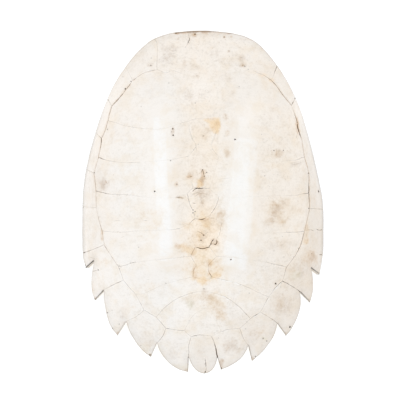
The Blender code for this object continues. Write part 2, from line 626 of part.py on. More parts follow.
def inner_face(edge):
    """Inner face, meshed on its own because it needs fewer facets."""
    guides = inner_guides()
    beside = shoulders(edge, guides[4:], RIB_HALF_WIDTH)
    for line in guides[:4]:
        beside = beside[gap_to_line(beside, line)[0] > INNER_CLEARANCE / 2]
    plan, triangles, _ = meshed(edge, guides, beside, INNER_STEP, INNER_CLEARANCE)
    return under(*plan.T), [triangle[::-1] for triangle in triangles]


def edge_middle(edge):
    """A ring of points halfway down the edge, pushed out a little so that the edge is rounded."""
    middle = under(*edge.T, 0.5)
    along = np.roll(edge, -1, axis=0) - np.roll(edge, 1, axis=0)
    outward = np.column_stack([along[:, 1], -along[:, 0]])
    outward /= np.linalg.norm(outward, axis=1)[:, None]
    standing = outer_height(*edge.T) > FOOT_TOLERANCE
    middle[standing, :2] += EDGE_BULGE * outward[standing]
    return middle


def bone_material():
    material = bpy.data.materials.new("bone")
    material.use_nodes = True
    shader = material.node_tree.nodes["Principled BSDF"]
    shader.inputs["Base Color"].default_value = BONE_COLOUR
    shader.inputs["Roughness"].default_value = BONE_ROUGHNESS
    shader.inputs["Metallic"].default_value = 0.0
    return material


def build_carapace():
    edge = outline()
    outer, outer_triangles = outer_face(edge)
    inner, inner_triangles = inner_face(edge)
    middle = edge_middle(edge)
    count = len(edge)
    middle_start = len(outer)
    inner_start = middle_start + count
    faces = list(outer_triangles)
    faces += [[corner + inner_start for corner in triangle] for triangle in inner_triangles]
    for i in range(count):
        j = (i + 1) % count
        faces.append([i, middle_start + i, middle_start + j, j])
        faces.append([middle_start + i, inner_start + i, inner_start + j, middle_start + j])
    mesh = bpy.data.meshes.new("carapace")
    mesh.from_pydata(np.vstack([outer, middle, inner]).tolist(), [], faces)
    mesh.validate()
    mesh.shade_smooth()
    mesh.set_sharp_from_angle(angle=np.radians(40))
    mesh.materials.append(bone_material())
    carapace = bpy.data.objects.new("carapace", mesh)
    bpy.context.scene.collection.objects.link(carapace)


for leftover in list(bpy.data.objects):
    bpy.data.objects.remove(leftover)
build_carapace()
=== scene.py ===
import math
import bpy
import numpy as np
from mathutils import Matrix, Vector, noise
from mathutils.geometry import delaunay_2d_cdt
from mathutils.kdtree import KDTree


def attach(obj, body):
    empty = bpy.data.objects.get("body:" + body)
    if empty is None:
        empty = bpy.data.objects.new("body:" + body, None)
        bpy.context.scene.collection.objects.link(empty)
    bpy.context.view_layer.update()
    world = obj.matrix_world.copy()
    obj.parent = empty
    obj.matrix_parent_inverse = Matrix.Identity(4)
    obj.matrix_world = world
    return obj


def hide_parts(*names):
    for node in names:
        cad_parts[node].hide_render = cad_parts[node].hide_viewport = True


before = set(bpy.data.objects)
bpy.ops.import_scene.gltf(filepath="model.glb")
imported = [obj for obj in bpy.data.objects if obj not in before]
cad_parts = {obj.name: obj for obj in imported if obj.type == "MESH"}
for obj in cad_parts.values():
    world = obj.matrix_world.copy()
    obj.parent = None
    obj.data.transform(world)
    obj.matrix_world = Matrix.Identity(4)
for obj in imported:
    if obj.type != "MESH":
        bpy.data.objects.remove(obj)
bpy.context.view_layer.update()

# Giant river turtle carapace, seen from straight above with its head end away: +Y to the head end, +Z up.
# Lengths are in metres, apart from the places in the tables, which are in mm.
mm = 0.001

dome = {
    "crownHeight": 0.1398, "crownY": 0.025,
    "frontDrop": 0.094, "frontRun": 0.317, "frontPower": 2.1,
    "rearDrop": 0.106, "rearRun": 0.367, "rearPower": 2.0,
    "sideDrop": 0.150, "sideSpan": 0.256, "sideLimit": 0.999,
    "bendInset": 0.030, "bendPower": 2.8,
    # how far the outer face wanders inwards, broad and fine: depth, size and seed of each noise
    "swell": ((0.00025, 0.085, 21), (0.00004, 0.016, 22)), "swellFade": 0.012,
    # the two shoulders under the highlight streaks, smoother and with a painted sheen: middles, half widths,
    # ends
    "shoulders": (-0.083, 0.079), "shoulderHalf": (0.018, 0.040),
    "shoulderRear": (-0.165, -0.115), "shoulderFront": (0.180, 0.215), "shoulderCalm": 0.9,
}
bone = {
    "costal": 0.0065, "edge": 0.0048, "bridge": 0.0110, "bridgeFade": 0.030, "peripheralSwell": 0.0035,
    "edgeBulge": 0.0008, "bulgeRoom": 0.3, "bulgePower": 0.6, "footTolerance": 0.0004,
    "keelHeight": 0.019, "keelCrest": 0.0038, "keelFoot": 0.0110, "jointSwell": 0.0030, "jointHalf": 0.0230,
    "keelFront": 0.262, "keelRear": -0.238, "keelFade": 0.045,
    "ribHeight": 0.0028, "ribHalf": 0.0095, "headHeight": 0.0110, "headReach": 0.040,
    "ribMiddle": (0.62, 0.38), "buttressHeight": 0.0050, "buttressHalf": 0.0120,
    "scarHeight": 0.0050, "scarX": 0.056, "scarY": -0.212, "scarWide": 0.017, "scarLong": 0.032,
    "scarTop": 0.35,
    "innerSwell": 0.0003, "innerNoise": (0.014, 31), "innerSwellFrom": 0.004,
}
grid = {
    "outerStep": 0.0030, "middleStep": 0.0020, "innerStep": 0.0052, "keelStep": 0.0026, "outlineStep": 0.0016,
    "sutureStep": 0.0017, "envelopeStep": 0.0026, "ribStep": 0.012, "buttressStep": 0.008, "curveSteps": 24,
    "edgeRows": (0.10, 0.30, 0.55, 0.80, 0.94), "edgeBand": (0.0011, 0.0024),
    "slopeStep": 0.0004, "rays": 96, "rayOverrun": 1.02, "rayChunk": 8000, "cdtEpsilon": 1e-7,
    # where the middle of the outer face is finer, and where the inner face changes to the keel's finer step
    "middleHalf": 0.036, "middleRear": -0.175, "middleFront": 0.185, "coarseFrom": (0.024, 0.28),
    "fineTo": (0.0235, 0.279),
    # the ragged outline: depth, size and seed of each noise, and how sharp a corner stays as it is
    "ragged": ((0.00035, 0.012, 1), (0.00012, 0.004, 2)), "cornerCosine": 0.9,
}
# Least distances in the mesh. lipToLine is a share of the lip's own distance, bandToEdge one of the band's,
# and the last four are shares of a step, the second with a length added.
clearance = {
    "lineToEdge": 0.0006, "lipToEdge": 0.0005, "lipToLine": 0.86, "leastLip": 0.00012,
    "pitToEdge": 0.0004, "pitToLine": 0.0003, "bandToEdge": 0.8, "bandToLine": 0.0009, "merged": 0.00032,
    "fillToEdge": 0.45, "fillToLine": (0.50, 0.0004), "fillToRest": 0.36, "innerToEdge": 0.35,
}


def metres(value):
    # a length in mm, or any list or tuple of them
    if isinstance(value, (list, tuple)):
        return type(value)(metres(item) for item in value)
    return round(value * mm, 6)


# The smooth rim from the right rear tooth round the head end to the left one: x, y and height of its edge
rim = metres([
    (233.4, -144.4, 12), (238.2, -120, 3), (241, -95, 0), (241.5, -60, 0), (241.3, -20, 0), (238.4, 13, 0),
    (230.4, 53, 0), (221, 95, 3), (210.2, 135, 11), (199, 173, 23), (183.9, 211, 34), (163.4, 250.6, 42),
    (138.9, 285.4, 47), (115, 311.8, 51), (94.6, 326, 52), (70.5, 334.5, 53), (38.5, 339.5, 54),
    (0.5, 342, 54), (-35.5, 340.5, 54), (-68.2, 336.3, 53), (-99, 325.2, 52), (-119.3, 310.5, 51),
    (-139.2, 290.1, 48), (-156.2, 267.6, 45), (-174.5, 240.4, 40), (-190.7, 207, 32), (-205.3, 169, 21),
    (-217.7, 131, 10), (-228.6, 91, 2), (-236.1, 53, 0), (-240.5, 13, 0), (-241.6, -31, 0),
    (-241.6, -75, 0), (-240.2, -109, 2), (-234.5, -131.4, 9),
])

# The bowed edges of the tail end, left to right. A tooth's runs from the floor of its notch to its tip on the
# left, and from its tip on the right, with the blunt pygal between. "tip" says which point is the tip, and
# the last key how dark a painted shadow makes the straight side before that edge, at both its ends.
teeth = [
    {"edge": [(-217.5, -116), (-219.3, -127), (-223, -153), (-222.2, -177), (-216.2, -195.7)],
     "tip": -1, "height": 26, "notchShadow": (1, 1)},
    {"edge": [(-198, -175), (-197.5, -195), (-192.8, -223), (-184.2, -248), (-170.9, -266)],
     "tip": -1, "height": 42, "notchShadow": (0.5, 1)},
    {"edge": [(-153.5, -238), (-147.3, -257.3), (-133.8, -279.8), (-120, -296.5), (-104, -309.2)],
     "tip": -1, "height": 46, "notchShadow": (0, 0)},
    {"edge": [(-92, -281), (-84.9, -299.3), (-69.9, -318.7), (-49.7, -332.9), (-30, -339)],
     "tip": -1, "height": 45, "notchShadow": (0, 0)},
    {"edge": [(-28.5, -310), (-21.5, -325.4), (-10.5, -337.3), (2.5, -341.8), (15.5, -337.4),
              (24.5, -325.2), (29, -310)],
     "tip": 3, "height": 43, "notchShadow": (0.35, 0.45)},
    {"edge": [(35.9, -334.5), (54.8, -326.1), (74.1, -313.3), (85.6, -297.9), (90.5, -285.5)],
     "tip": 0, "height": 45, "notchShadow": (0.45, 0.35)},
    {"edge": [(98, -317.1), (114.8, -302.5), (130.1, -284.9), (142.3, -265.1), (149, -242)],
     "tip": 0, "height": 46, "notchShadow": (0.45, 0.3)},
    {"edge": [(166, -266.6), (176.5, -254), (187.5, -233), (195.1, -207), (194, -179)],
     "tip": 0, "height": 42, "notchShadow": (0.45, 0.3)},
    {"edge": [(214.2, -200.1), (219.3, -181.2), (220.3, -161), (218.6, -142), (216, -131)],
     "tip": 0, "height": 26, "notchShadow": (1, 0.4)},
]
lastNotch = (1, 0.4)

# Places where bones meet: round the ring between costals and peripherals, then along the midline
ring = {
    "nuchalL": (-91.5, 264), "edge1L": (-140, 242.5), "edge2L": (-182, 192), "costal1L": (-189.5, 163.5),
    "edge3L": (-203, 127), "costal2L": (-208.5, 89), "edge4L": (-217.5, 58), "costal3L": (-213.5, 22.5),
    "edge5L": (-213, -11), "costal4L": (-201, -57), "edge6L": (-197, -85), "costal5L": (-168.5, -128),
    "edge7L": (-158.5, -155.5), "costal6L": (-134.5, -183), "edge8L": (-117.5, -215),
    "costal7L": (-92.5, -230), "edge9L": (-73.5, -251.5), "supraL": (-37, -256), "pygalL": (-23.5, -268),
    "pygalR": (17, -267), "supraR": (37, -258), "edge9R": (73.5, -252), "costal7R": (94.5, -232),
    "edge8R": (114.5, -219), "costal6R": (130.5, -189), "edge7R": (158.5, -157), "costal5R": (166.5, -129),
    "edge6R": (194.5, -87), "costal4R": (202.5, -58), "edge5R": (212.5, -13), "costal3R": (211.5, 18),
    "edge4R": (212, 57), "costal2R": (202.5, 90), "edge3R": (197.5, 123), "costal1R": (189, 157),
    "edge2R": (176.5, 193), "edge1R": (136.5, 243), "nuchalR": (98, 264),
}
middle = {
    "neural1L": (-16, 250), "neural1R": (18, 250), "neural2L": (-13.5, 166), "neural2R": (19, 166),
    "neural3L": (-12.5, 112), "neural3R": (17, 113), "corner2L": (-29.5, 91), "corner2R": (31, 91),
    "neural4L": (-20, 28), "neural4R": (13, 27), "corner3L": (-31.5, 17), "corner3R": (31, 11),
    "neural5L": (-15, -32.5), "neural5R": (13, -27), "corner4L": (-26.5, -43), "corner4R": (36.5, -40),
    "neural6L": (-15, -89), "neural6R": (13, -89), "corner5L": (-24.5, -107.5), "corner5R": (27, -108),
    "neural7L": (-13, -126), "neural7R": (10.5, -125), "corner6L": (-19.5, -149), "corner6R": (18, -149),
    "neuralEnd": (-1, -154), "costal8Top": (1, -177), "supraTop": (0.5, -214),
}
nuchalRear = metres([(74.5, 260), (0, 253), (-73.5, 259)])    # the ring's curve between its two ends
ring, middle = ({name: metres(place) for name, place in places.items()} for places in (ring, middle))

# Sutures: the points between two places, how dark the line is at even stops, in percent, and how wide.
# A width over 1 is an open gap that dirt has settled in. Those of the ring follow its places in order.
ringSutures = [
    ([(-116.5, 258), (-129, 250.2)], (45, 50, 60), 0.9),
    ([(-153.7, 224.3), (-169.3, 204.9)], (50, 80, 95, 105, 85), (0.8, 0.9, 1.2, 1.3, 1)),
    ([], (80, 85), 1.1), ([(-196.3, 140.9)], (80, 70, 95), (1.1, 1, 1.3)),
    ([(-203.7, 114.3)], (110, 105, 80, 75), (1.7, 1.5, 1.1, 1)), ([], (70, 60), 0.9),
    ([(-215.5, 43.1)], (90, 85, 60), 0.9), ([], (62, 60), 0.9), ([(-205.9, -41.3)], (52, 58), 0.9),
    ([(-198.1, -76.9)], (60, 62), 0.9), ([(-182.5, -107.9)], (60, 50), 0.9), ([], 50, 0.9),
    ([(-142.5, -174.5)], (50, 46), 0.9), ([], (44, 42), 0.9), ([], 46, 0.9), ([], (46, 44), 0.9),
    ([(-53.7, -254.5)], (56, 60, 50), 0.9), ([], (42, 28), 0.9),
    ([(-7.1, -264.5), (9.7, -266.1)], (55, 66, 52, 36), 0.9), ([], (12, 22), 0.8),
    ([(53, -253.5)], (46, 38), 0.9), ([], 44, 0.9), ([], (46, 85, 54), 0.9), ([], (58, 54), 0.9),
    ([(147.5, -166.9)], (56, 60), 0.9), ([], (52, 62), 0.9), ([(182.9, -107.9)], (55, 60, 90), 0.9),
    ([], (95, 65), 1), ([(206.3, -41.3)], (60, 60, 70), 0.9), ([], (85, 100, 115), (1.1, 1.4, 1.9)),
    ([(211.5, 43.1)], (105, 105, 90, 90), (1.8, 1.6, 1.3, 1.2)), ([], (95, 85), 1), ([], (95, 100), 1),
    ([(189.7, 147.7)], (90, 120, 128, 128), (1, 2.2, 2.6, 2.4)),
    ([(183, 176.5)], (130, 65, 60), (1.9, 1, 0.9)),
    ([(160.7, 212.1), (147.5, 230.9)], (75, 90, 85, 75), 0.9),
    ([(122.9, 252.1), (107.5, 258.3)], (70, 60, 50, 12), 0.9),
]
innerSutures = [
    ("nuchalL", "neural1L", [(-74, 257.5), (-65, 261), (-54, 261), (-40, 255)], (42, 40, 34, 24, 8, 3),
     0.8),
    ("neural1L", "neural1R", [], 3, 0.7),
    ("neural1R", "nuchalR", [(48, 255.5), (74.5, 261)], (3, 5, 14, 10), 0.7),
    ("neural1L", "neural2L", [(-25, 214)], (3, 6, 10), 0.7),
    ("neural1R", "neural2R", [(30, 212)], (3, 5, 8), 0.7),
    ("neural2L", "neural2R", [], (25, 15), 0.7),
    ("neural2L", "neural3L", [(-27, 151), (-21.5, 129)], (8, 18, 34, 32), 0.8),
    ("neural2R", "neural3R", [(29, 150), (21, 129)], (5, 12, 42, 24), 0.8),
    ("neural3L", "neural3R", [], 3, 0.7),
    ("neural3L", "corner2L", [(-22, 100)], (40, 40, 32), 0.8),
    ("neural3R", "corner2R", [(21, 102)], (24, 40, 26), 0.8),
    ("corner2L", "neural4L", [(-27, 60)], (12, 8, 34), 0.8),
    ("corner2R", "neural4R", [(24, 60)], (20, 6, 16), 0.7),
    ("neural4L", "neural4R", [(-8, 27.2), (3, 28)], (50, 130, 120, 35, 50), (0.9, 1.6, 1.4, 0.8, 0.8)),
    ("neural4L", "corner3L", [], (45, 20), 0.9),
    ("neural4R", "corner3R", [], (20, 10), 0.7),
    ("corner3L", "neural5L", [(-26.2, -4.5), (-20.5, -17)], (50, 62, 44, 20), 0.8),
    ("corner3R", "neural5R", [(27.2, -6)], (50, 62, 95, 30), 0.8),
    ("neural5L", "neural5R", [(-2, -34.5)], (45, 75, 100, 30, 14), (0.8, 1, 1.5, 0.8, 0.7)),
    ("neural5L", "corner4L", [(-21.5, -37)], (60, 50, 34), 0.9),
    ("neural5R", "corner4R", [], (8, 16), 0.7),
    ("corner4L", "neural6L", [(-25, -68)], (24, 16, 30), 0.8),
    ("corner4R", "neural6R", [(32, -65)], (40, 44, 20, 20), 0.8),
    ("neural6L", "neural6R", [(-1, -92.5)], (60, 90, 90, 95), (0.9, 1.3, 1.3, 1.3)),
    ("neural6L", "corner5L", [], (60, 42), 1.2),
    ("neural6R", "corner5R", [], (36, 34), 0.8),
    ("corner5L", "neural7L", [], (38, 34), 1.2),
    ("corner5R", "neural7R", [], (32, 40), 1.4),
    ("neural7L", "neural7R", [], 8, 0.8),
    ("neural7L", "corner6L", [(-19, -137)], (28, 38, 46), 1.3),
    ("neural7R", "corner6R", [(11, -137)], (34, 36, 70), 1.4),
    ("corner6L", "neuralEnd", [], (40, 26), 0.9),
    ("neuralEnd", "corner6R", [], (20, 34), 0.9),
    ("neuralEnd", "costal8Top", [], 8, 0.8),
    ("costal8Top", "supraTop", [], 6, 0.8),
    ("supraTop", "supraL", [(-15, -221), (-27.5, -237)], (22, 32, 30), 0.8),
    ("supraTop", "supraR", [(14, -220), (27, -239)], (8, 10, 34), 0.8),
    ("costal1L", "neural2L", [(-182.3, 160.5), (-149.5, 151), (-104.7, 145.5), (-77.9, 146.5), (-46, 156)],
     (44, 42, 40, 38, 12, 22, 37, 31), 0.8),
    ("costal1R", "neural2R", [(148, 148), (90, 148), (50, 156)], (6, 2, 2, 5), 0.7),
    ("costal2L", "corner2L", [(-189.3, 83.1), (-158.1, 78.7), (-103.5, 80.9), (-60, 85)],
     (75, 50, 38, 38, 8, 14, 24, 42), 0.8),
    ("costal2R", "corner2R", [(189.7, 85.5), (176.3, 83.1), (105, 79), (62, 85)], (55, 30, 3, 2, 2, 5),
     0.8),
    ("costal3L", "corner3L", [(-202.5, 19.5), (-184.7, 15.9), (-149.3, 14.7), (-113.7, 9.9), (-60, 9)],
     (85, 62, 44, 36, 32, 6, 6, 12, 16), 0.8),
    ("costal3R", "corner3R", [(194.1, 15.5), (180.7, 13.1), (114.5, 12), (62, 9)],
     (62, 42, 24, 16, 12, 5, 5), 0.8),
    ("costal4L", "corner4L", [(-169.3, -59.7), (-127.1, -57.3), (-64.7, -54.5), (-48.1, -52.3)],
     (46, 38, 32, 24, 18, 14, 36, 16), 0.8),
    ("costal4R", "corner4R", [(171.9, -60.1), (110, -61), (65, -52)], (70, 50, 12, 3, 3, 6), 0.8),
    ("costal5L", "corner5L", [(-153.7, -125.3), (-134.1, -119.7), (-69.3, -112.3)],
     (75, 75, 16, 14, 24, 34, 38), 0.8),
    ("costal5R", "corner5R", [(145.3, -124.5), (118.5, -118.3), (49.7, -109.1)],
     (50, 62, 34, 14, 8, 20, 34), 0.8),
    ("costal6L", "corner6L", [(-120.3, -182.3), (-95.9, -172.3), (-73.7, -162.3), (-33.7, -151.9)],
     (32, 30, 26, 18, 18, 28, 30), 0.8),
    ("costal6R", "corner6R", [(114.1, -181.3), (87.5, -169.1), (65.3, -160.1), (41.9, -154.5)],
     (44, 48, 44, 36, 38, 28), 0.8),
    ("costal7L", "costal8Top", [(-90.3, -225.7), (-73.7, -207.9), (-58.1, -195.7), (-42.5, -187.9),
     (-20.3, -180.1)], (44, 46, 50, 50, 36, 16), 0.9),
    ("costal7R", "costal8Top", [(78.5, -214.5), (60.7, -199.1), (45.3, -189.1), (22.9, -181.3)],
     (50, 56, 54, 44, 26, 14), 0.9),
]
# from a place to a point of the outline
edgeSutures = [
    ("nuchalL", (-97, 324.7), [(-92, 280), (-91.5, 315.5)], (48, 44, 42, 34), 0.9),
    ("edge1L", (-153.5, 270), [], (40, 14), 0.9),
    ("edge2L", (-189, 204.8), [], (45, 50), 0.9),
    ("edge3L", (-214, 139), [], (60, 40), 0.9),
    ("edge4L", (-233.3, 65), [], (45, 38), 0.9),
    ("edge5L", (-240.7, -9), [], (34, 22, 40), 0.8),
    ("edge6L", (-238.5, -102), [(-216, -93)], (50, 52, 80), 0.9),
    ("edge7L", (-198, -175), [(-179, -165)], (60, 54, 24), 0.9),
    ("edge8L", (-153.5, -238), [(-133, -228)], (36, 40, 24), 0.9),
    ("edge9L", (-92, -281), [(-81, -268)], (52, 62, 50), 0.9),
    ("pygalL", (-28.5, -310), [(-28, -286)], (40, 56, 75), 0.9),
    ("pygalR", (29, -310), [(24, -286)], (45, 110, 140), (0.9, 1.6, 2)),
    ("edge9R", (90.5, -285.5), [(81, -272)], (42, 62), 0.9),
    ("edge8R", (149, -242), [(137, -233)], (50, 56, 62), 0.9),
    ("edge7R", (194, -179), [(183, -171)], (80, 62, 80), 1.15),
    ("edge6R", (239.2, -104), [(214, -97)], 10, 0.8),
    ("edge5R", (240, -14), [], (42, 32, 50), 0.9),
    ("edge4R", (229.3, 65), [], (12, 8), 0.8),
    ("edge3R", (213.5, 128), [], (12, 8), 0.8),
    ("edge2R", (183.5, 208.5), [], (55, 75), 1.2),
    ("edge1R", (148, 272), [], (30, 45, 70), 1),
    ("nuchalR", (108.5, 316), [(88, 288), (96, 306)], 5, 0.7),
]
cracks = [
    ((-31, 340.5), [(-27.7, 327), (-29.2, 320), (-35.2, 308.5)], (30, 45, 110, 60, 35), 0.6),
    ((2.5, -341.8), [(6.3, -332), (5.1, -317.5), (4.2, -309.8)], (130, 50, 105, 30), 0.9),
]
# Short dark strokes that end in the open bone: points, how dark in percent, how wide
strokes = [
    ([(-22, 15), (-12, 19), (0, 21)], 35, 1.2), ([(-16, 11), (-6, 17), (10, 16)], 40, 1.4),
    ([(-8, 10), (2, 10), (8, 13)], 35, 1.3), ([(-4, 6), (-2, -2), (1, -10)], 30, 1.6),
    ([(4, 26), (8, 27), (13, 28)], 50, 1), ([(15, 27), (16, 24), (19, 21)], 45, 0.9),
    ([(-3, 27), (-8, 28), (-13, 27), (-18, 24), (-21, 21)], 120, 1.2),
    ([(-55, 10), (-48, 9), (-39, 8)], 80, 2.2), ([(-20, -2), (-14, -2)], 90, 1),
    ([(-17, -22), (-16, -31)], 40, 0.8), ([(-62, -54), (-55, -54), (-51, -52), (-45, -52)], 65, 1.1),
    ([(-48, -44), (-36, -44), (-26, -45)], 25, 0.8), ([(-32, 50), (-28, 49)], 60, 1),
    ([(-26, 50), (-22, 51)], 100, 1.3), ([(27, 46), (38, 46), (52, 48)], 25, 1.3),
    ([(-28, 148), (-25, 136), (-22, 127), (-18, 120)], 30, 0.8),
    ([(-15, 116), (-14, 110), (-12, 102)], 45, 0.8), ([(26, 137), (24, 130), (20, 121)], 30, 0.9),
    ([(23, 174), (24, 183)], 25, 0.8), ([(45, 174), (46, 166)], 45, 1.3),
    ([(4, 119), (8, 120), (9, 125)], 25, 1), ([(-10, -58), (-2, -62), (1, -67)], 55, 1),
    ([(5, -63), (10, -59)], 45, 1), ([(12, -88), (15, -85), (17, -79), (21, -74)], 110, 2),
    ([(21, -83), (25, -84), (28, -80), (27, -75)], 110, 1.8),
    ([(-4, 58), (-1, 64), (1, 59), (2, 52)], 80, 1.3), ([(5, 57), (8, 60)], 70, 1.2),
    ([(19, -146), (16, -151), (11, -154)], 50, 1.2), ([(177, 74), (186, 76), (193, 78)], 35, 1.6),
    ([(194, 83), (195, 76)], 50, 0.9), ([(-203, 39), (-203, 28)], 45, 1.5),
    ([(-195, 44), (-191, 37)], 35, 1.5), ([(232, -105), (239, -105.5)], 75, 1.2),
    ([(206, -56), (214, -55), (221, -57)], 50, 1), ([(227, -54), (233, -56), (239, -55)], 80, 1),
    ([(168, 238), (170, 228)], 25, 0.8), ([(186, 132), (188, 125)], 60, 0.9),
    ([(-67, 304), (-57, 300)], 35, 1.1), ([(-64, 295), (-56, 296), (-49, 293)], 40, 1.1),
    ([(86, 262), (92, 265)], 70, 1), ([(73, 289), (79, 288)], 45, 1.2),
    ([(-221, -138), (-210, -136)], 45, 1.3), ([(-175, -37), (-165, -37)], 35, 1.1),
    ([(-118, -36), (-111, -37)], 50, 1.2), ([(-163, -70), (-157, -68)], 40, 1),
    ([(-112, -154), (-105, -153)], 50, 1.1), ([(-226, -110), (-217, -112)], 40, 1),
    ([(-101, 328), (-95, 324), (-92, 317)], 30, 0.8),
]
# Small holes and dark specks: x, y, radius and depth, then how dark in percent
pits = [
    (-60.1, 145.9, 1.3, 1, 100), (-62.7, 139.9, 0.9, 0.5, 55), (-59.3, 133.1, 1.4, 1, 100),
    (-96.1, 21.5, 1.3, 1.6, 120), (63.7, 124.7, 1.35, 1.6, 120), (231.5, 21.7, 1.4, 1.4, 120),
    (0.7, 131.5, 1.7, 0.6, 40), (42.1, 329.1, 1.1, 0.8, 80), (-53.9, 337.1, 1.5, 0.8, 95),
    (-15.9, 335.1, 1.5, 0.8, 80), (52.1, 301.3, 1, 0.5, 50), (83.3, 270.7, 1.4, 0.6, 55),
    (79.3, 272.3, 1.2, 0.5, 50), (-67.9, 237.3, 1, 0.5, 50), (-123.1, 190.3, 1.1, 0.5, 40),
    (-190.5, 145.1, 1, 0.6, 60), (-104.1, 272.5, 1.5, 0.6, 60), (-103.1, 287.3, 1.1, 0.4, 40),
    (-159.9, 250.3, 0.9, 0.4, 40), (-154.9, 225.9, 1.4, 0.8, 95), (-174.7, 240.3, 1, 0.6, 80),
    (-217.3, 58.3, 1.3, 0.8, 100), (-239.6, -9.9, 1, 0.6, 90), (-238.1, -100.9, 0.9, 0.6, 80),
    (-177.9, 54.3, 0.7, 0.4, 40), (-12.3, 251.3, 1, 0.5, 50), (-15.5, 197.3, 0.9, 0.6, 60),
    (30.1, 207.3, 0.8, 0.4, 40), (72.1, 230.3, 0.8, 0.6, 60), (141.3, 102.7, 1, 0.8, 85),
    (160.3, 103.1, 0.9, 0.7, 80), (116.7, 134.7, 0.8, 0.5, 50), (122.9, 52.3, 0.8, 0.6, 70),
    (-64.3, 82.7, 1.3, 0.5, 60), (-51.9, 35.7, 1.2, 0.6, 65), (1.3, -65.7, 1.3, 1, 110),
    (-3.9, -75.7, 1.1, 0.9, 100), (9.7, -59.5, 0.8, 0.5, 60), (-19.9, -15.7, 1.1, 0.7, 100),
    (-15.7, -18.7, 1, 0.7, 90), (-19.7, -21.3, 1.1, 0.7, 100), (-0.7, 64.5, 1.1, 0.8, 110),
    (7.7, 59.3, 1, 0.6, 90), (2.5, 51.7, 1, 0.6, 90), (-9.5, 115.1, 0.9, 0.4, 50),
    (-21.9, 127.1, 1.1, 0.5, 60), (55.5, -114.1, 1.3, 0.9, 90), (161.3, -109.3, 0.8, 0.6, 60),
    (158.1, -68.3, 0.9, 0.4, 40), (144.9, -162.3, 1.6, 1, 100), (154.9, -169.1, 0.8, 0.5, 50),
    (92.1, -181.1, 1, 0.5, 50), (-73.9, -161.7, 1.1, 0.5, 50), (1.7, -172.3, 1.1, 0.5, 55),
    (-128.1, -89.7, 0.9, 0.5, 50), (-209.3, -135.1, 1, 0.7, 85), (-190.6, -220.6, 1.1, 0.7, 80),
    (-180.3, -251.7, 0.9, 0.6, 70), (-167.3, -243.3, 1, 0.6, 60), (-181.5, -215.7, 0.8, 0.4, 40),
    (-123.9, -285.7, 0.9, 0.5, 50), (-105.7, -304.9, 1.7, 0.8, 120), (-29.3, -308.9, 0.9, 0.7, 90),
    (36.7, -331, 1.2, 0.8, 120), (4.5, -314.9, 0.9, 0.6, 80), (5.7, -326.9, 0.9, 0.6, 80),
    (4.7, -338.4, 1.2, 0.8, 120), (104.7, -307.7, 1, 0.7, 90), (120.1, -271.7, 1.4, 0.5, 60),
    (127.3, -276.9, 0.9, 0.6, 90), (173.7, -249.1, 1.6, 0.8, 100), (84.7, -252.7, 0.9, 0.5, 50),
    (31.1, -270.7, 0.9, 0.4, 40), (27.7, -256.7, 0.8, 0.5, 50), (217.3, -102.7, 0.8, 0.5, 60),
    (211.1, -12.5, 0.9, 0.6, 90), (210.9, 18.5, 1.3, 0.8, 100), (210.5, 57.5, 1, 0.7, 90),
    (-143.5, 240.7, 1.1, 0.6, 80), (-217.1, -112.9, 0.7, 0.4, 60), (-235.1, -126.1, 1.4, 0.6, 70),
    (-215.5, -192.9, 1.5, 0.6, 70), (-200.7, 182.3, 0.8, 0.4, 60),
]
pitShape = {
    # rings of points: share of the radius, number of points, share of the depth and of the darkness
    "rings": ((0, 1, 1, 1), (0.55, 7, 0.75, 1), (1.0, 10, 0, 0.3), (1.5, 10, 0, 0)),
    "wide": 1.25, "dark": 1.1, "steepest": 0.35, "steepPower": 0.7,
    "lobes": 0.22, "lobeTurns": 3.1, "lobeShift": 900,
}
grooves = {
    "half": 0.00068, "depth": 0.00110, "depthPower": 1.5, "widest": 1.8, "deepestAtEdge": 0.0006,
    "steepest": 0.5, "steepPower": 0.8,
    # share, size and seed of the noises that a line wanders by and that its darkness and width vary by
    "wander": 0.00040, "wanderNoise": ((1.6, 0.011, 11), (1.1, 0.0042, 3)), "heldPoints": 4,
    "darkNoise": ((0.55, 0.012, 5), (0.30, 0.0038, 8)), "widthNoise": ((0.25, 0.006, 2),),
    "dark": 0.98, "darkPower": 1.05, "crackTaper": 0.8,
    # shares of a suture's depth and width that the open strokes have, and how dark and long their ends are
    "strokeDepth": 0.10, "strokeWidth": 0.85, "strokeEnd": 0.35, "strokeEndPoints": 1.5,
    # across a line, on both sides: shares of its half width, of its depth and of its darkness
    "profile": ((0.5, 0.70, 0.90), (1.0, 0.0, 0.0)),
    "newDepth": 0.2, "newDark": 0.3,      # for a point where two lines cross
    # the stained fringe: how dark a line has to be, where it sets in on the ring, its share elsewhere, reach
    "fringeFrom": 0.25, "ringFringe": (-0.20, -0.08), "seamFringe": 0.22, "fringeReach": (0.0006, 0.0046),
}
# Where the marks on the surface fade, as distances from a line, from a wall with painted shadow or from the
# edge
fades = {
    "near": (0.0008, 0.0075), "notchShadow": (0.0001, 0.0007), "paintedEdgeShade": (0.0002, 0.0028), "rimShadeMask": (0.0010, 0.0200),
    "bridgeX": (0.190, 0.222), "bridgeY": (-0.120, -0.090), "rimLeast": 0.25,
    "wallShadow": (0.08, 0.42), "wallShadowPower": 1.5, "cutShare": 0.7, "farFromLines": 99.0,
}

# Ribs: where each leaves the backbone, and where it meets the ring. Buttresses: from the bridge up on to a
# costal. Both are mirrored.
ribs = metres([
    (205, (168, 208)), (129, (198, 126)), (54, (214, 56)), (-13, (211, -14)), (-75, (188, -92)),
    (-130, (152, -158)), (-165, (114, -212)), (-195, (70, -244)),
])
buttresses = metres([
    [(214, 98), (190, 130), (158, 150)],
    [(221, -112), (190, -116), (152, -104)],
])


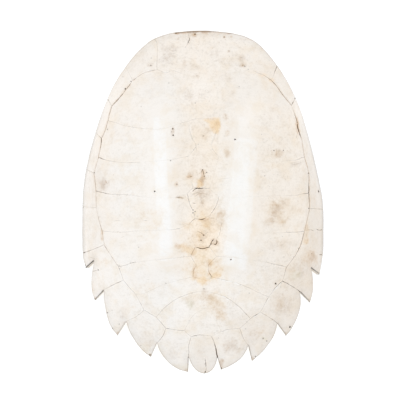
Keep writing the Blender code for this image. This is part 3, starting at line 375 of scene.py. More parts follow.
def curveThrough(points, spacing):
    # evenly spaced points on a smooth curve
    points = np.asarray(points, float)
    if len(points) > 2:
        padded = np.vstack([2 * points[0] - points[1], points, 2 * points[-1] - points[-2]])
        t = np.linspace(0, 1, grid["curveSteps"], endpoint=False)[:, None]
        parts = []
        for a, b, c, d in zip(padded, padded[1:], padded[2:], padded[3:]):
            bend = (2 * a - 5 * b + 4 * c - d) * t**2 + (3 * b - a - 3 * c + d) * t**3
            parts.append(0.5 * (2 * b + (c - a) * t + bend))
        points = np.vstack([*parts, points[-1:]])
    reach = np.append(0, np.cumsum(np.linalg.norm(np.diff(points, axis=0), axis=1)))
    stops = np.linspace(0, reach[-1], max(1, round(reach[-1] / spacing)) + 1)
    return np.column_stack([np.interp(stops, reach, column) for column in points.T])


def smoothstep(low, high, value):
    t = np.clip((value - low) / (high - low), 0, 1)
    return t * t * (3 - 2 * t)


def fade(low, high, value):
    return 1 - smoothstep(low, high, value)


def unit(vectors):
    return vectors / np.linalg.norm(vectors, axis=1)[:, None]


def leftOf(along):
    # square to each plan vector, to its left
    return np.column_stack([-along[:, 1], along[:, 0]])


def fieldNoise(points, size, seed):
    # Blender's own noise, about -1 to 1, one value a point
    offset = Vector((seed * 7.31, seed * 3.17, seed * 1.73))
    return np.array([noise.noise(Vector(p) / size + offset) for p in points])


def waves(points, layers, number=0):
    return sum(share * fieldNoise(points, size, seed + number) for share, size, seed in layers)


def hollows(points, layers, wander=1):
    return sum(depth * (1 + wander * fieldNoise(points, size, seed)) for depth, size, seed in layers)


def drift(points, layers):
    # an offset in plan
    return np.column_stack([waves(points, layers, number) for number in (0, 1)])


def flatField(points):
    return np.column_stack([points, np.zeros(len(points))])


def byAngle(loop):
    loop = curveThrough(np.vstack([loop, loop[:1]]), grid["envelopeStep"])[:-1]
    angle = np.arctan2(loop[:, 1], loop[:, 0])
    order = np.argsort(angle)
    return angle[order], np.linalg.norm(loop[order, :2], axis=1), loop[order, 2:]


tips = [(*metres(tooth["edge"][tooth["tip"]]), metres(tooth["height"])) for tooth in teeth]
envelope = byAngle(np.array([*rim, *tips]))
ringCurve = byAngle(np.array([*ring.values(), *nuchalRear]))


def around(x, y):
    # distance from the middle, that of the ring and of the envelope there, and the rim's height
    angle = np.arctan2(y, x)
    inside = np.interp(angle, ringCurve[0], ringCurve[1], period=2 * np.pi)
    outside = np.interp(angle, envelope[0], envelope[1], period=2 * np.pi)
    height = np.interp(angle, envelope[0], envelope[2][:, 0], period=2 * np.pi)
    return np.hypot(x, y), inside, outside, height


def domeHeight(x, y):
    ahead = np.maximum(y - dome["crownY"], 0) / dome["frontRun"]
    behind = np.maximum(dome["crownY"] - y, 0) / dome["rearRun"]
    spine = dome["crownHeight"] - dome["frontDrop"] * ahead ** dome["frontPower"]
    spine -= dome["rearDrop"] * behind ** dome["rearPower"]
    across = np.minimum(np.abs(x) / dome["sideSpan"], dome["sideLimit"])
    return spine - dome["sideDrop"] * (1 - np.sqrt(1 - across**2))


def outerHeight(x, y):
    # the dome, bent down outside the ring so that it meets the rim
    distance, inside, outside, rimHeight = around(x, y)
    start = inside - dome["bendInset"]
    bend = np.clip((distance - start) / (outside - start), 0, 1) ** dome["bendPower"]
    outwards = outside / np.maximum(distance, 1e-9)
    height = domeHeight(x, y) + bend * (rimHeight - domeHeight(x * outwards, y * outwards))
    return np.where(height < bone["footTolerance"], 0, height)


def streakSheen(x, y):
    # 1 on the middle of each shoulder under a highlight streak, 0 away from them
    aside = np.min([np.abs(x - middleX) for middleX in dome["shoulders"]], axis=0)
    along = smoothstep(*dome["shoulderRear"], y) * fade(*dome["shoulderFront"], y)
    return fade(*dome["shoulderHalf"], aside) * along


def outerNormal(x, y):
    d = grid["slopeStep"]
    slopeX = (outerHeight(x + d, y) - outerHeight(x - d, y)) / (2 * d)
    slopeY = (outerHeight(x, y + d) - outerHeight(x, y - d)) / (2 * d)
    return unit(np.column_stack([-slopeX, -slopeY, np.ones_like(slopeX)]))


def gapToLine(points, line):
    # distance to the nearest place on the line, and how far along the line that is
    start, along = line[:-1], np.diff(line, axis=0)
    length = np.linalg.norm(along, axis=1)
    offset = points[:, None] - start[None]
    t = np.clip((offset * along).sum(axis=2) / length**2, 0, 1)
    gap = np.linalg.norm(offset - t[..., None] * along, axis=2)
    nearest = gap.argmin(axis=1)
    rows = np.arange(len(points))
    reach = np.append(0, np.cumsum(length))[nearest] + t[rows, nearest] * length[nearest]
    return gap[rows, nearest], reach


def ribExtra(points):
    extra = np.zeros(len(points))
    innerShare, outerShare = bone["ribMiddle"]
    for innerY, (outerX, outerY) in ribs:
        for side in (-1, 1):
            halfway = (0.5 * side * outerX, innerShare * innerY + outerShare * outerY)
            way = curveThrough([(0, innerY), halfway, (side * outerX, outerY)], grid["ribStep"])
            gap, reach = gapToLine(points, way)
            height = bone["ribHeight"] + bone["headHeight"] * fade(0, bone["headReach"], reach)
            extra = np.maximum(extra, height * fade(0, bone["ribHalf"], gap))
    return extra


def keelExtra(x, y):
    swell = np.max([fade(0, bone["jointHalf"], np.abs(y - innerY)) for innerY, _ in ribs], axis=0)
    across = fade(bone["keelCrest"], bone["keelFoot"], np.abs(x) - bone["jointSwell"] * swell)
    ends = smoothstep(bone["keelRear"], bone["keelRear"] + bone["keelFade"], y)
    ends *= fade(bone["keelFront"] - bone["keelFade"], bone["keelFront"], y)
    return bone["keelHeight"] * across * ends


def scarExtra(x, y):
    points = np.column_stack([np.abs(x), y])
    extra = np.zeros(len(points))
    for line in buttresses:
        gap, _ = gapToLine(points, curveThrough(line, grid["buttressStep"]))
        extra = np.maximum(extra, bone["buttressHeight"] * fade(0, bone["buttressHalf"], gap))
    aside = (points[:, 0] - bone["scarX"]) / bone["scarWide"]
    along = (y - bone["scarY"]) / bone["scarLong"]
    return np.maximum(extra, bone["scarHeight"] * fade(bone["scarTop"], 1, np.hypot(aside, along)))


def thickness(x, y):
    distance, inside, outside, rimHeight = around(x, y)
    share = np.clip((distance - inside) / (outside - inside), 0, 1)
    edge = bone["bridge"] + (bone["edge"] - bone["bridge"]) * smoothstep(0, bone["bridgeFade"], rimHeight)
    wall = bone["costal"] + (edge - bone["costal"]) * share**2
    wall += 4 * bone["peripheralSwell"] * share * (1 - share)
    ridges = (1 - share) ** 2 * np.maximum(keelExtra(x, y), ribExtra(np.column_stack([x, y])))
    return wall + np.maximum(ridges, scarExtra(x, y))


def raysAlongBone(angle):
    outside = np.interp(angle, envelope[0], envelope[1], period=2 * np.pi)
    plan = outside[:, None] * np.linspace(0, grid["rayOverrun"], grid["rays"])
    height = outerHeight(plan * np.cos(angle)[:, None], plan * np.sin(angle)[:, None])
    parts = np.hypot(np.diff(plan, axis=1), np.diff(height, axis=1))
    return plan, np.column_stack([np.zeros(len(plan)), np.cumsum(parts, axis=1)])


def unrolled(points, back=False):
    # plan points moved out to their lengths along the bone, or back
    done = []
    for chunk in np.array_split(points, len(points) // grid["rayChunk"] + 1):
        angle = np.arctan2(chunk[:, 1], chunk[:, 0])
        plan, along = raysAlongBone(angle)
        tables = (along, plan) if back else (plan, along)
        reach = np.array([np.interp(*row) for row in zip(np.hypot(*chunk.T), *tables)])
        done.append(np.column_stack([reach * np.cos(angle), reach * np.sin(angle)]))
    return np.vstack(done)


def rolledBack(points):
    return unrolled(points, back=True)


def insideLoop(points, loop):
    inside = np.zeros(len(points), bool)
    for (x0, y0), (x1, y1) in zip(loop, np.roll(loop, -1, axis=0)):
        crosses = (y0 > points[:, 1]) != (y1 > points[:, 1])
        if crosses.any():
            inside ^= crosses & (points[:, 0] < x0 + (points[:, 1] - y0) * (x1 - x0) / (y1 - y0 + 1e-15))
    return inside


def treeOf(points):
    tree = KDTree(len(points))
    for index, (x, y) in enumerate(points):
        tree.insert((x, y, 0), index)
    tree.balance()
    return tree


def nearestIn(points, tree):
    found = [tree.find((x, y, 0)) for x, y in points]
    return np.array([hit[1] for hit in found]), np.array([hit[2] for hit in found])


def clearOf(points, *limits):
    # which points keep at least a distance from each tree
    good = np.ones(len(points), bool)
    for tree, least in limits:
        good &= nearestIn(points, tree)[1] > least
    return good


def outlineLoop():
    # the whole outline with the painted shadow on its notch faces and the way inwards, anticlockwise
    bows = [[point[:2] for point in rim]] + [metres(tooth["edge"]) for tooth in teeth]
    notchShadow = [tooth["notchShadow"] for tooth in teeth] + [lastNotch]
    edge, walls = [], []
    for number, bow in enumerate(bows):
        straight = [bow[-1], bows[(number + 1) % len(bows)][0]]
        for run, ends in ((bow, (0, 0)), (straight, notchShadow[number])):
            stops = curveThrough(run, grid["outlineStep"])[:-1]
            edge.append(stops)
            walls.append(np.linspace(*ends, len(stops)))
    edge, walls = np.vstack(edge), np.concatenate(walls)
    ahead, behind = np.roll(edge, -1, axis=0), np.roll(edge, 1, axis=0)
    inward = leftOf(unit(ahead - behind))
    ragged = hollows(flatField(edge), grid["ragged"])
    ragged[(unit(ahead - edge) * unit(edge - behind)).sum(axis=1) < grid["cornerCosine"]] = 0
    return edge + inward * ragged[:, None], walls, inward


def onEdge(edge, place):
    return tuple(edge[np.linalg.norm(edge - metres(place), axis=1).argmin()])


def lineSpecs(edge):
    # every line as its places, darkness, width and kind
    places, names = {**ring, **middle}, list(ring)
    for a, b, (between, dark, width) in zip(names, names[1:], ringSutures):
        yield (ring[a], *metres(between), ring[b]), dark, width, "ring"
    for a, b, between, dark, width in innerSutures:
        yield (places[a], *metres(between), places[b]), dark, width, "seam"
    for a, end, between, dark, width in edgeSutures:
        yield (places[a], *metres(between), onEdge(edge, end)), dark, width, "seam"
    for start, between, dark, width in cracks:
        yield (onEdge(edge, start), *metres(between)), dark, width, "crack"
    for points, dark, width in strokes:
        yield [(x * mm, y * mm) for x, y in points], dark, width, "stroke"


def alongLine(t, values):
    # one value for the whole line, or values at even stops
    values = np.atleast_1d(values)
    return np.interp(t, np.linspace(0, 1, len(values)), values)


def sutureRows(edge):
    # each line as flat points, with its darkness, width and depth at each point
    rows = []
    for number, (points, dark, width, kind) in enumerate(lineSpecs(edge)):
        ends = unrolled(np.array([points[0], points[-1]]))
        line = curveThrough(unrolled(np.array(points)), grid["sutureStep"])
        t = np.linspace(0, 1, len(line))
        fromEnd = np.minimum(t, 1 - t) * len(line)
        across = leftOf(unit(np.gradient(line, axis=0)))
        at = flatField(line)
        wander = grooves["wander"] * waves(at, grooves["wanderNoise"], number)
        line = line + across * (wander * np.minimum(1, fromEnd / grooves["heldPoints"]))[:, None]
        line[0], line[-1] = ends
        shade = alongLine(t, np.array(dark) / 100) * (1 + waves(at, grooves["darkNoise"], number))
        shade = grooves["dark"] * shade ** grooves["darkPower"]
        wide = alongLine(t, width) * (1 + waves(at, grooves["widthNoise"], number))
        # wider on the steep sides, so that the line looks as wide from above
        upright = np.maximum(outerNormal(*rolledBack(line).T)[:, 2], grooves["steepest"])
        wide = wide / upright ** grooves["steepPower"]
        deep = grooves["depth"] * np.minimum(wide, grooves["widest"])
        deep = deep * np.clip(shade, 0, 1) ** grooves["depthPower"]
        if kind == "crack":
            wide = wide * (1 - grooves["crackTaper"] * t**3)
        if kind == "stroke":
            deep, wide = deep * grooves["strokeDepth"], wide * grooves["strokeWidth"]
            ending = (1 - grooves["strokeEnd"]) * fromEnd / grooves["strokeEndPoints"]
            shade = shade * np.minimum(1, grooves["strokeEnd"] + ending)
        share = smoothstep(*grooves["ringFringe"], line[:, 1]) if kind == "ring" else grooves["seamFringe"]
        rows.append({"line": line, "across": across, "dark": shade, "width": wide, "deep": deep,
                     "fringe": np.clip(shade - grooves["fringeFrom"], 0, 1) * share,
                     "tied": kind != "stroke", "ends": (tuple(points[0]), tuple(points[-1]))})
    return rows


def filled(edge, step):
    # evenly spaced flat points inside the edge
    reach = np.abs(edge).max() + step
    rows = []
    for index, y in enumerate(np.arange(-reach, reach, step * math.sqrt(3) / 2)):
        xs = np.arange(-reach, reach, step) + (index % 2) * step / 2
        rows.append(np.column_stack([xs, np.full(len(xs), y)]))
    points = np.vstack(rows)
    return points[insideLoop(points, edge)]


def triangulated(flat, chains, loopCount):
    made = delaunay_2d_cdt(flat.tolist(), chains, [list(range(loopCount))], 1, grid["cdtEpsilon"])
    source = np.array([origins[0] if origins else -1 for origins in made[3]])
    return np.array([tuple(v) for v in made[0]]), [list(face) for face in made[2]], source


def pitPoints():
    # rings of points for each small hole: flat place, depth and how dark
    made = []
    flatPits = unrolled(np.array([pit[:2] for pit in pits]) * mm)
    uprights = np.maximum(outerNormal(*rolledBack(flatPits).T)[:, 2], pitShape["steepest"])
    for (px, py), upright, (_, _, radius, deep, shade) in zip(flatPits, uprights, pits):
        radius = pitShape["wide"] * mm * radius / upright ** pitShape["steepPower"]
        for share, number, deepShare, darkShare in pitShape["rings"]:
            lobes = pitShape["lobes"] * (share > 0)
            for k in range(number):
                turn = 2 * math.pi * (k + 0.5 * (number % 2)) / number
                lobe = math.sin(pitShape["lobeTurns"] * turn + px * pitShape["lobeShift"])
                away = radius * share * (1 + lobes * lobe)
                made.append((px + away * math.cos(turn), py + away * math.sin(turn),
                             deep * mm * deepShare, pitShape["dark"] * (shade / 100) * darkShare))
    return np.array(made)


def lineChains(rows, edge, flatEdge, edgeTree):
    # points of the edge and of the lines, their depth, darkness and fringe, and the chains that join them.
    # Lines that meet share a point, and a suture that ends on the edge ends on a vertex of it.
    count = len(edge)
    points, values, chains = list(map(tuple, flatEdge)), [[0.0, 0.0, 0.0] for _ in edge], []
    placeOf = {tuple(place): index for index, place in enumerate(edge)}
    for row in rows:
        last = len(row["line"]) - 1
        inside = insideLoop(row["line"], flatEdge) & clearOf(row["line"], (edgeTree, clearance["lineToEdge"]))
        if row["tied"]:
            inside[[0, last]] = True
        chain = []
        for index in np.flatnonzero(inside):
            deep, shade, fringe = row["deep"][index], row["dark"][index], row["fringe"][index]
            key = row["ends"][0 if index == 0 else 1] if index in (0, last) else None
            if key in placeOf:
                at = placeOf[key]
                deep = max(values[at][0], deep) if at >= count else min(deep, grooves["deepestAtEdge"])
                values[at] = [deep, max(values[at][1], shade), max(values[at][2], fringe)]
            else:
                at = len(points)
                points.append(tuple(row["line"][index]))
                values.append([deep, shade, fringe])
                if key is not None:
                    placeOf[key] = at
            chain.append(at)
        chains += zip(chain, chain[1:])
    return np.array(points), np.array(values), chains


def lipPoints(rows, lines, edgeTree):
    # points beside each line, on its wall and at its lip: flat place, depth and how dark
    made = []
    for row in rows:
        for share, deepShare, darkShare in grooves["profile"]:
            reach = grooves["half"] * row["width"] * share
            for side in (-1, 1):
                places = row["line"] + row["across"] * (side * reach)[:, None]
                good = clearOf(places, (lines, clearance["lipToLine"] * reach),
                               (edgeTree, clearance["lipToEdge"])) & (reach > clearance["leastLip"])
                made.append(np.column_stack([places, row["deep"] * deepShare, row["dark"] * darkShare])[good])
    return np.vstack(made)


def bandPoints(edge, inward, edgeTree, lines):
    # rows just inside the edge, for the painted shade line along it
    made = []
    for away in grid["edgeBand"]:
        band = unrolled(edge + inward * away)
        good = clearOf(band, (edgeTree, clearance["bandToEdge"] * away), (lines, clearance["bandToLine"]))
        made.append(np.column_stack([band, np.zeros((len(band), 2))])[good])
    return np.vstack(made)


def fillPoints(flatEdge, edgeTree, lines, taken):
    made = []
    share, more = clearance["fillToLine"]
    for step, finer in ((grid["outerStep"], False), (grid["middleStep"], True)):
        spread = filled(flatEdge, step)
        x, y = spread.T
        inMiddle = (np.abs(x) < grid["middleHalf"]) & (y > grid["middleRear"]) & (y < grid["middleFront"])
        spread = spread[inMiddle == finer]
        limits = clearance["fillToEdge"] * step, share * step + more, clearance["fillToRest"] * step
        made.append(spread[clearOf(spread, *zip((edgeTree, lines, taken), limits))])
    return np.vstack(made)


def outerFace(edge, walls, inward):
    flatEdge, rows, count = unrolled(edge), sutureRows(edge), len(edge)
    edgeTree = treeOf(flatEdge)
    points, values, chains = lineChains(rows, edge, flatEdge, edgeTree)
    lines = treeOf(points[count:])
    holes = pitPoints()
    holes = holes[clearOf(holes[:, :2], (edgeTree, clearance["pitToEdge"]), (lines, clearance["pitToLine"]))]
    beside = np.vstack([lipPoints(rows, lines, edgeTree), holes, bandPoints(edge, inward, edgeTree, lines)])
    cells = np.round(beside[:, :2] / clearance["merged"]).astype(int)
    beside = beside[np.unique(cells, axis=0, return_index=True)[1]]
    beside = beside[insideLoop(beside[:, :2], flatEdge)]
    fill = fillPoints(flatEdge, edgeTree, lines, treeOf(beside[:, :2]))
    depth = np.concatenate([values[:, 0], beside[:, 2], np.zeros(len(fill))])
    dark = np.concatenate([values[:, 1], beside[:, 3], np.zeros(len(fill))])
    flat, faces, source = triangulated(np.vstack([points, beside[:, :2], fill]), chains, count)
    depth = np.where(source >= 0, depth[source], grooves["depth"] * grooves["newDepth"])
    dark = np.where(source >= 0, dark[source], grooves["newDark"])
    plan = rolledBack(flat)
    plan[:count] = edge
    x, y = plan.T
    surface = np.column_stack([x, y, outerHeight(x, y)])
    _, edgeGap = nearestIn(flat, edgeTree)
    swell = hollows(surface, dome["swell"], 1 - dome["shoulderCalm"] * streakSheen(x, y))
    swell = swell * smoothstep(0, dome["swellFade"], edgeGap)
    surface = surface - outerNormal(x, y) * (depth + swell)[:, None]
    surface[:, 2] = np.maximum(surface[:, 2], 0)
    # painted shadow on the notch walls, by distance from the nearest shaded wall
    shadowedWall = walls > 0
    wall, wallGap = nearestIn(flat, treeOf(flatEdge[shadowedWall]))
    nearest, gap = nearestIn(flat, lines)
    # how strong the painted rim shade is: most on the steep sides along the bridge
    onBridge = smoothstep(*fades["bridgeX"], np.abs(x)) * smoothstep(*fades["bridgeY"], y)
    rimShadeStrength = fades["rimLeast"] + (1 - fades["rimLeast"]) * onBridge
    return surface, faces, {
        "seam": dark, "near": fade(*fades["near"], gap), "gap": gap / mm,
        "lineDark": values[count:, 1][nearest],
        "fringe": values[count:, 2][nearest] * fade(*grooves["fringeReach"], gap),
        "paintedEdgeShade": fade(*fades["paintedEdgeShade"], edgeGap), "notchShadow": walls[shadowedWall][wall] * fade(*fades["notchShadow"], wallGap),
        "rimShadeMask": fade(*fades["rimShadeMask"], edgeGap) * rimShadeStrength,
    }


def innerPoints(x, y, share=1.0):
    # a share of the bone's thickness below the outer face
    point = np.column_stack([x, y, outerHeight(x, y)])
    point = point - outerNormal(x, y) * (thickness(x, y) * share)[:, None]
    point[:, 2] = np.maximum(point[:, 2], 0)
    return point


def innerFace(edge):
    flatEdge = unrolled(edge)
    coarse, fine = np.abs(filled(flatEdge, grid["innerStep"])), np.abs(filled(flatEdge, grid["keelStep"]))
    fill = np.vstack([filled(flatEdge, grid["innerStep"])[(coarse > grid["coarseFrom"]).any(axis=1)],
                      filled(flatEdge, grid["keelStep"])[(fine < grid["fineTo"]).all(axis=1)]])
    fill = fill[clearOf(fill, (treeOf(flatEdge), clearance["innerToEdge"] * grid["innerStep"]))]
    flat, faces, _ = triangulated(np.vstack([flatEdge, fill]), [], len(edge))
    plan = rolledBack(flat)
    plan[:len(edge)] = edge
    inner = innerPoints(*plan.T)
    swell = bone["innerSwell"] * fieldNoise(inner, *bone["innerNoise"])
    inner[:, 2] -= np.where(inner[:, 2] > bone["innerSwellFrom"], swell, 0)
    return inner, [face[::-1] for face in faces]


def edgeRings(edge, walls):
    # rings down the edge's face, which bulges out, less where another part of the edge is close
    outward = -leftOf(unit(np.roll(edge, -1, axis=0) - np.roll(edge, 1, axis=0)))
    count = len(edge)
    apart = np.abs(np.arange(count)[:, None] - np.arange(count)[None])
    room = np.linalg.norm(edge[:, None] - edge[None], axis=2)
    room[np.minimum(apart, count - apart) < 6] = 1      # its own neighbours
    bulge = np.minimum(bone["edgeBulge"], bone["bulgeRoom"] * room.min(axis=1))
    bulge[outerHeight(*edge.T) <= bone["footTolerance"]] = 0
    bulge *= 1 - 0.5 * walls
    rings = []
    for share in grid["edgeRows"]:
        points = innerPoints(*edge.T, share)
        points[:, :2] += outward * (bulge * math.sin(math.pi * share) ** bone["bulgePower"])[:, None]
        rings.append(points)
    return rings


# The bone's tint, which drifts from place to place; the darker patches over the steep side rims are painted
# shade as well as tone. x, y, half width and half length, then how light and how warm it is in percent
tints = [
    (-136, 64, 80, 200, 97, 16), (144, 64, 90, 220, 90, 25), (0, 44, 50, 300, 95, 27),
    (-6, 304, 140, 56, 95, 19), (134, -216, 120, 90, 84, 22), (-6, -296, 120, 44, 92, 13),
    (-186, -176, 50, 100, 97, 10), (-226, 4, 20, 140, 90, 12), (-6, -206, 80, 50, 96, 11),
    (222, -26, 14, 40, 77, 22), (222, -10, 20, 150, 74, 25), (196, -150, 40, 50, 79, 26),
    (80, -180, 60, 40, 96, 13), (4, -70, 30, 50, 111, 40), (-110, -240, 60, 40, 92, 12),
    (-222, 60, 16, 90, 84, 17), (222, 70, 16, 80, 75, 22), (-156, 50, 36, 80, 94, 8),
    (110, 176, 50, 40, 97, 17), (0, 220, 40, 34, 98, 15), (0, -300, 24, 36, 79, 22),
    (70, -288, 44, 30, 87, 20), (40, 20, 16, 110, 93, 13), (-40, 40, 16, 120, 90, 23),
    (-205, 124, 14, 40, 91, 17), (-232, -60, 12, 50, 93, 13), (205, 124, 14, 40, 79, 19),
    (232, -60, 12, 50, 72, 27), (170, 226, 26, 40, 86, 16), (-170, 226, 26, 40, 96, 13),
]
stainColours = {
    "orange": (0.925, 0.680, 0.415), "ochre": (0.880, 0.710, 0.510), "rust": (0.690, 0.480, 0.310),
    "tan": (0.780, 0.630, 0.480), "brown": (0.660, 0.520, 0.400), "greyBrown": (0.720, 0.640, 0.570),
    "olive": (0.720, 0.660, 0.520), "edgeRust": (0.260, 0.140, 0.060),
}
# Stains on the outer face, by colour: x, y, half width and half length, then how strong in percent
stains = {
    "orange": [
        (22, 158, 11, 9, 75), (24, 146, 9, 12, 60), (29, 155, 6, 11, 85), (30, 143, 6, 8, 50),
        (9, 163, 9, 4, 40), (14, 156, 8, 8, 25), (7, -44, 9, 11, 100), (-6, 38, 6, 6, 85),
        (-9, 32, 5, 4, 60), (-2, -140, 11, 10, 35), (29, -135, 11, 12, 30), (31, -146, 8, 6, 40),
        (1, -35, 10, 5, 80), (-2, -27, 6, 8, 45), (-28, -95, 13, 9, 85), (-39, -88, 10, 7, 60),
        (-20, -100, 7, 6, 80), (-16, -146, 9, 9, 40), (-2, -156, 13, 8, 75), (-2, -112, 12, 10, 28),
        (-6, -132, 12, 12, 25), (23, -147, 12, 7, 45), (15, -119, 5, 7, 70), (-5, -66, 8, 10, 50),
        (-33, -46, 12, 10, 25), (-106, 152, 14, 14, 10), (120, 253, 9, 5, 30), (136, 243, 8, 6, 30),
        (204, -78, 5, 10, 35),
    ],
    "ochre": [
        (2, -122, 38, 38, 42), (2, -48, 44, 40, 20), (138, 72, 18, 8, 30), (-98, -36, 34, 34, 24),
        (-110, -70, 50, 10, 16), (-106, -168, 28, 10, 22), (-214, -66, 10, 20, 10), (207, -60, 5, 26, 45),
        (-110, -286, 16, 20, 12), (-198, -120, 18, 10, 20), (-142, -212, 12, 8, 10),
        (24, -204, 20, 26, 26), (-14, -190, 14, 10, 25), (-222, -176, 6, 20, 22), (38, 88, 40, 16, 12),
    ],
    "rust": [
        (0, 50, 4, 8, 65), (-2, 43, 4, 6, 55), (0, 60, 7, 6, 50), (20, 165.5, 11, 2.2, 22),
        (24, -81, 8, 6, 50), (3, -35, 9, 2.5, 60), (0, -91, 14, 4, 45), (12, -122, 6, 9, 35),
        (-18, -134, 4, 10, 35), (13, -140, 4, 9, 30), (-50, -87, 7, 6, 70), (187, 158, 4, 12, 55),
        (190, 142, 4, 8, 45), (216, -106, 6, 8, 25), (8, -40, 6, 7, 25), (4, -35, 7, 3, 70),
        (-26, 54, 5, 8, 35), (-26, 49, 9, 4, 45), (-52, 36, 5, 6, 35), (-20, -101, 4, 8, 50),
        (-16, -147, 5, 5, 40), (-17, 334, 5, 4, 80), (-53, 337.5, 7, 3, 80), (-38, 338, 9, 3, 50),
        (4, 338, 8, 2.5, 50), (28, 337, 14, 2.5, 45), (48, 335, 8, 2.5, 40), (42, 329, 3.5, 3, 60),
        (57, 330, 3, 3, 50), (94, 325, 22, 3, 30), (118, 308, 8, 4, 20),
    ],
    "tan": [
        (2, -60, 30, 44, 30), (-2, -6, 12, 10, 25), (-4, 60, 26, 60, 16), (30, -20, 22, 50, 22),
        (146, -20, 26, 34, 30), (130, 100, 40, 16, 18), (-30, -92, 24, 16, 30), (4, -196, 40, 20, 20),
        (156, -150, 60, 60, 10), (48, 98, 8, 12, 55), (48, 138, 6, 8, 50), (36, -27, 6, 9, 45),
        (166, 2, 10, 7, 30), (148, -16, 14, 20, 40), (158, -38, 12, 8, 45), (130, -38, 10, 7, 40),
        (36, -222, 14, 15, 60), (14, -190, 18, 9, 50), (26, -204, 12, 12, 38), (34, -24, 10, 9, 42),
        (38, -40, 8, 14, 30), (150, 96, 14, 8, 55), (184, -16, 12, 8, 30), (210, -112, 18, 24, 45),
        (182, -146, 16, 18, 35), (150, -200, 18, 20, 30), (112, -258, 20, 12, 26), (50, -282, 18, 16, 12),
        (-201, -70, 4, 14, 45), (45, 170, 6, 8, 40), (1, 130, 7, 6, 45), (9, 142, 6, 10, 35),
        (218, 4, 10, 16, 20), (116, -256, 16, 12, 20), (54, -285, 13, 12, 20), (-120, -245, 14, 14, 12),
    ],
    "brown": [
        (-170, -262, 4, 4, 60), (-105, -306, 4, 4, 60), (-31, -335, 6, 5, 60), (36, -328, 5, 7, 50),
        (99, -313, 5, 5, 60), (165, -262, 4, 4, 50), (212, -196, 5, 5, 40), (-214, -192, 4, 4, 50),
        (236, -150, 6, 40, 16), (48, 97, 4.5, 7, 28), (35, -23, 5, 6, 22), (218, -109, 8, 10, 80),
        (208, -122, 12, 10, 25), (207, -58, 4, 16, 30), (204, -77, 4, 12, 18), (160, -1, 8, 6, 40),
        (150, -12, 8, 9, 42), (142, -24, 8, 10, 38), (136, -38, 8, 8, 30), (158, 101, 20, 5, 30),
        (150, 94, 8, 5, 40), (-60, 140, 4, 10, 55), (23, -80, 9, 8, 45), (0, -70, 8, 12, 35),
        (-30, 98, 60, 60, 5), (60, 170, 40, 30, 8), (146, -10, 8, 12, 35), (-2, 17, 18, 10, 50),
        (-2, 0, 6, 12, 35), (35, -320, 6, 8, 70), (54, -288, 12, 8, 35), (160, -203, 14, 20, 26),
        (146, -186, 8, 8, 15), (-202, -64, 3, 10, 25), (-198, 36, 10, 12, 45), (-30, 204, 12, 14, 12),
        (-13, 250, 8, 6, 35), (8, 333, 36, 6, 22), (-49, 326, 3, 3, 45), (78, 272, 6, 4, 70),
        (51, 301, 4, 3.5, 45), (-36, 275, 5, 8, 35), (4, -177, 8, 8, 30), (86, -80, 6, 4, 10),
        (-67, 299, 12, 20, 20), (80, 272, 10, 8, 25), (186, 77, 12, 6, 15), (-104, 274, 8, 6, 30),
        (156, -82, 28, 12, 22), (60, 220, 8, 8, 22), (134, 180, 20, 20, 14), (164, 128, 16, 16, 16),
        (76, 286, 8, 8, 25),
    ],
    "greyBrown": [
        (-48, 9.5, 9, 3, 75), (-64, 305, 18, 10, 35), (-72, 284, 16, 14, 32), (-26, 322, 10, 16, 22),
        (20, 296, 24, 14, 22), (64, 284, 20, 18, 25), (-20, 270, 26, 12, 20), (44, 250, 16, 16, 20),
        (-10, 210, 30, 20, 12), (-48, 214, 24, 24, 10), (24, 226, 16, 12, 14), (52, 200, 16, 14, 18),
        (-200, 34, 14, 16, 35), (-190, 60, 10, 8, 20), (122, 150, 30, 24, 16), (-150, 112, 26, 30, 4),
        (-140, -30, 30, 16, 12), (120, -50, 26, 16, 14), (150, -90, 26, 10, 16), (206, -40, 12, 30, 15),
        (185, 76, 13, 6, 50), (196, -138, 14, 18, 30), (212, 60, 8, 30, 20), (-160, -222, 14, 16, 28),
        (-108, -272, 20, 14, 30), (-60, -302, 18, 14, 30), (96, -268, 22, 16, 35), (58, -290, 22, 18, 42),
        (158, -212, 20, 28, 32), (-4, -300, 14, 16, 22), (-46, -282, 16, 10, 20), (-38, -190, 16, 12, 15),
        (60, -196, 20, 12, 15),
    ],
    "olive": [
        (-26, -203, 8, 10, 45), (122, -272, 7, 6, 45), (-116, -296, 12, 12, 25), (-230, -40, 8, 16, 25),
        (-192, 144, 4, 6, 30), (-22, 128, 5, 6, 30), (-40, -328, 20, 8, 25), (186, -148, 12, 12, 35),
    ],
    "edgeRust": [
        (-6, 341.5, 64, 2.8, 100), (-52, 339.5, 10, 3, 90), (56, 338.5, 18, 2.6, 90),
        (-30, 341, 30, 3, 80),
    ],
}
# Where the fine brown mottling is thick: x, y, half width and half length, then how thick in percent
mottling = [
    (0, 300, 140, 60, 90), (0, 180, 80, 80, 80), (0, 0, 60, 160, 80), (150, 80, 70, 110, 80),
    (150, -150, 90, 110, 70), (40, -220, 90, 70, 70), (-100, -240, 120, 80, 45), (-230, 0, 30, 200, 50),
    (-110, 60, 80, 190, 25),
]
patchwork = {
    "tintRest": (88, 11), "restWeight": 0.15, "tintFall": 1.6, "tintRagged": 0.35,
    "stainRagged": 0.45, "stainStrength": 1.1, "blobFade": (0.25, 1.45),
    "mottleRagged": 0.3, "mottleLeast": 0.25,
    # share, size and seed of the noises that make the patches ragged
    "stainNoise": ((1, 0.011, 41), (0.6, 0.0042, 43)), "tintNoise": ((1, 0.060, 45),),
}


def boneTint(light, warm):
    # a warmer tint has less green and still less blue
    return light / 100 * np.array([1, 1 - warm / 200, 1 - warm / 100])


def inPatch(points, spot, ragged):
    # offset from the middle of a patch, in half widths and half lengths
    return (points[:, :2] - np.array(spot[:2]) * mm) / (np.array(spot[2:4]) * mm) + ragged


def blob(points, spot, ragged, rimShadeStrength=1):
    away = np.linalg.norm(inPatch(points, spot, ragged), axis=1)
    return min(rimShadeStrength * (spot[4] / 100), 1) * fade(*patchwork["blobFade"], away)


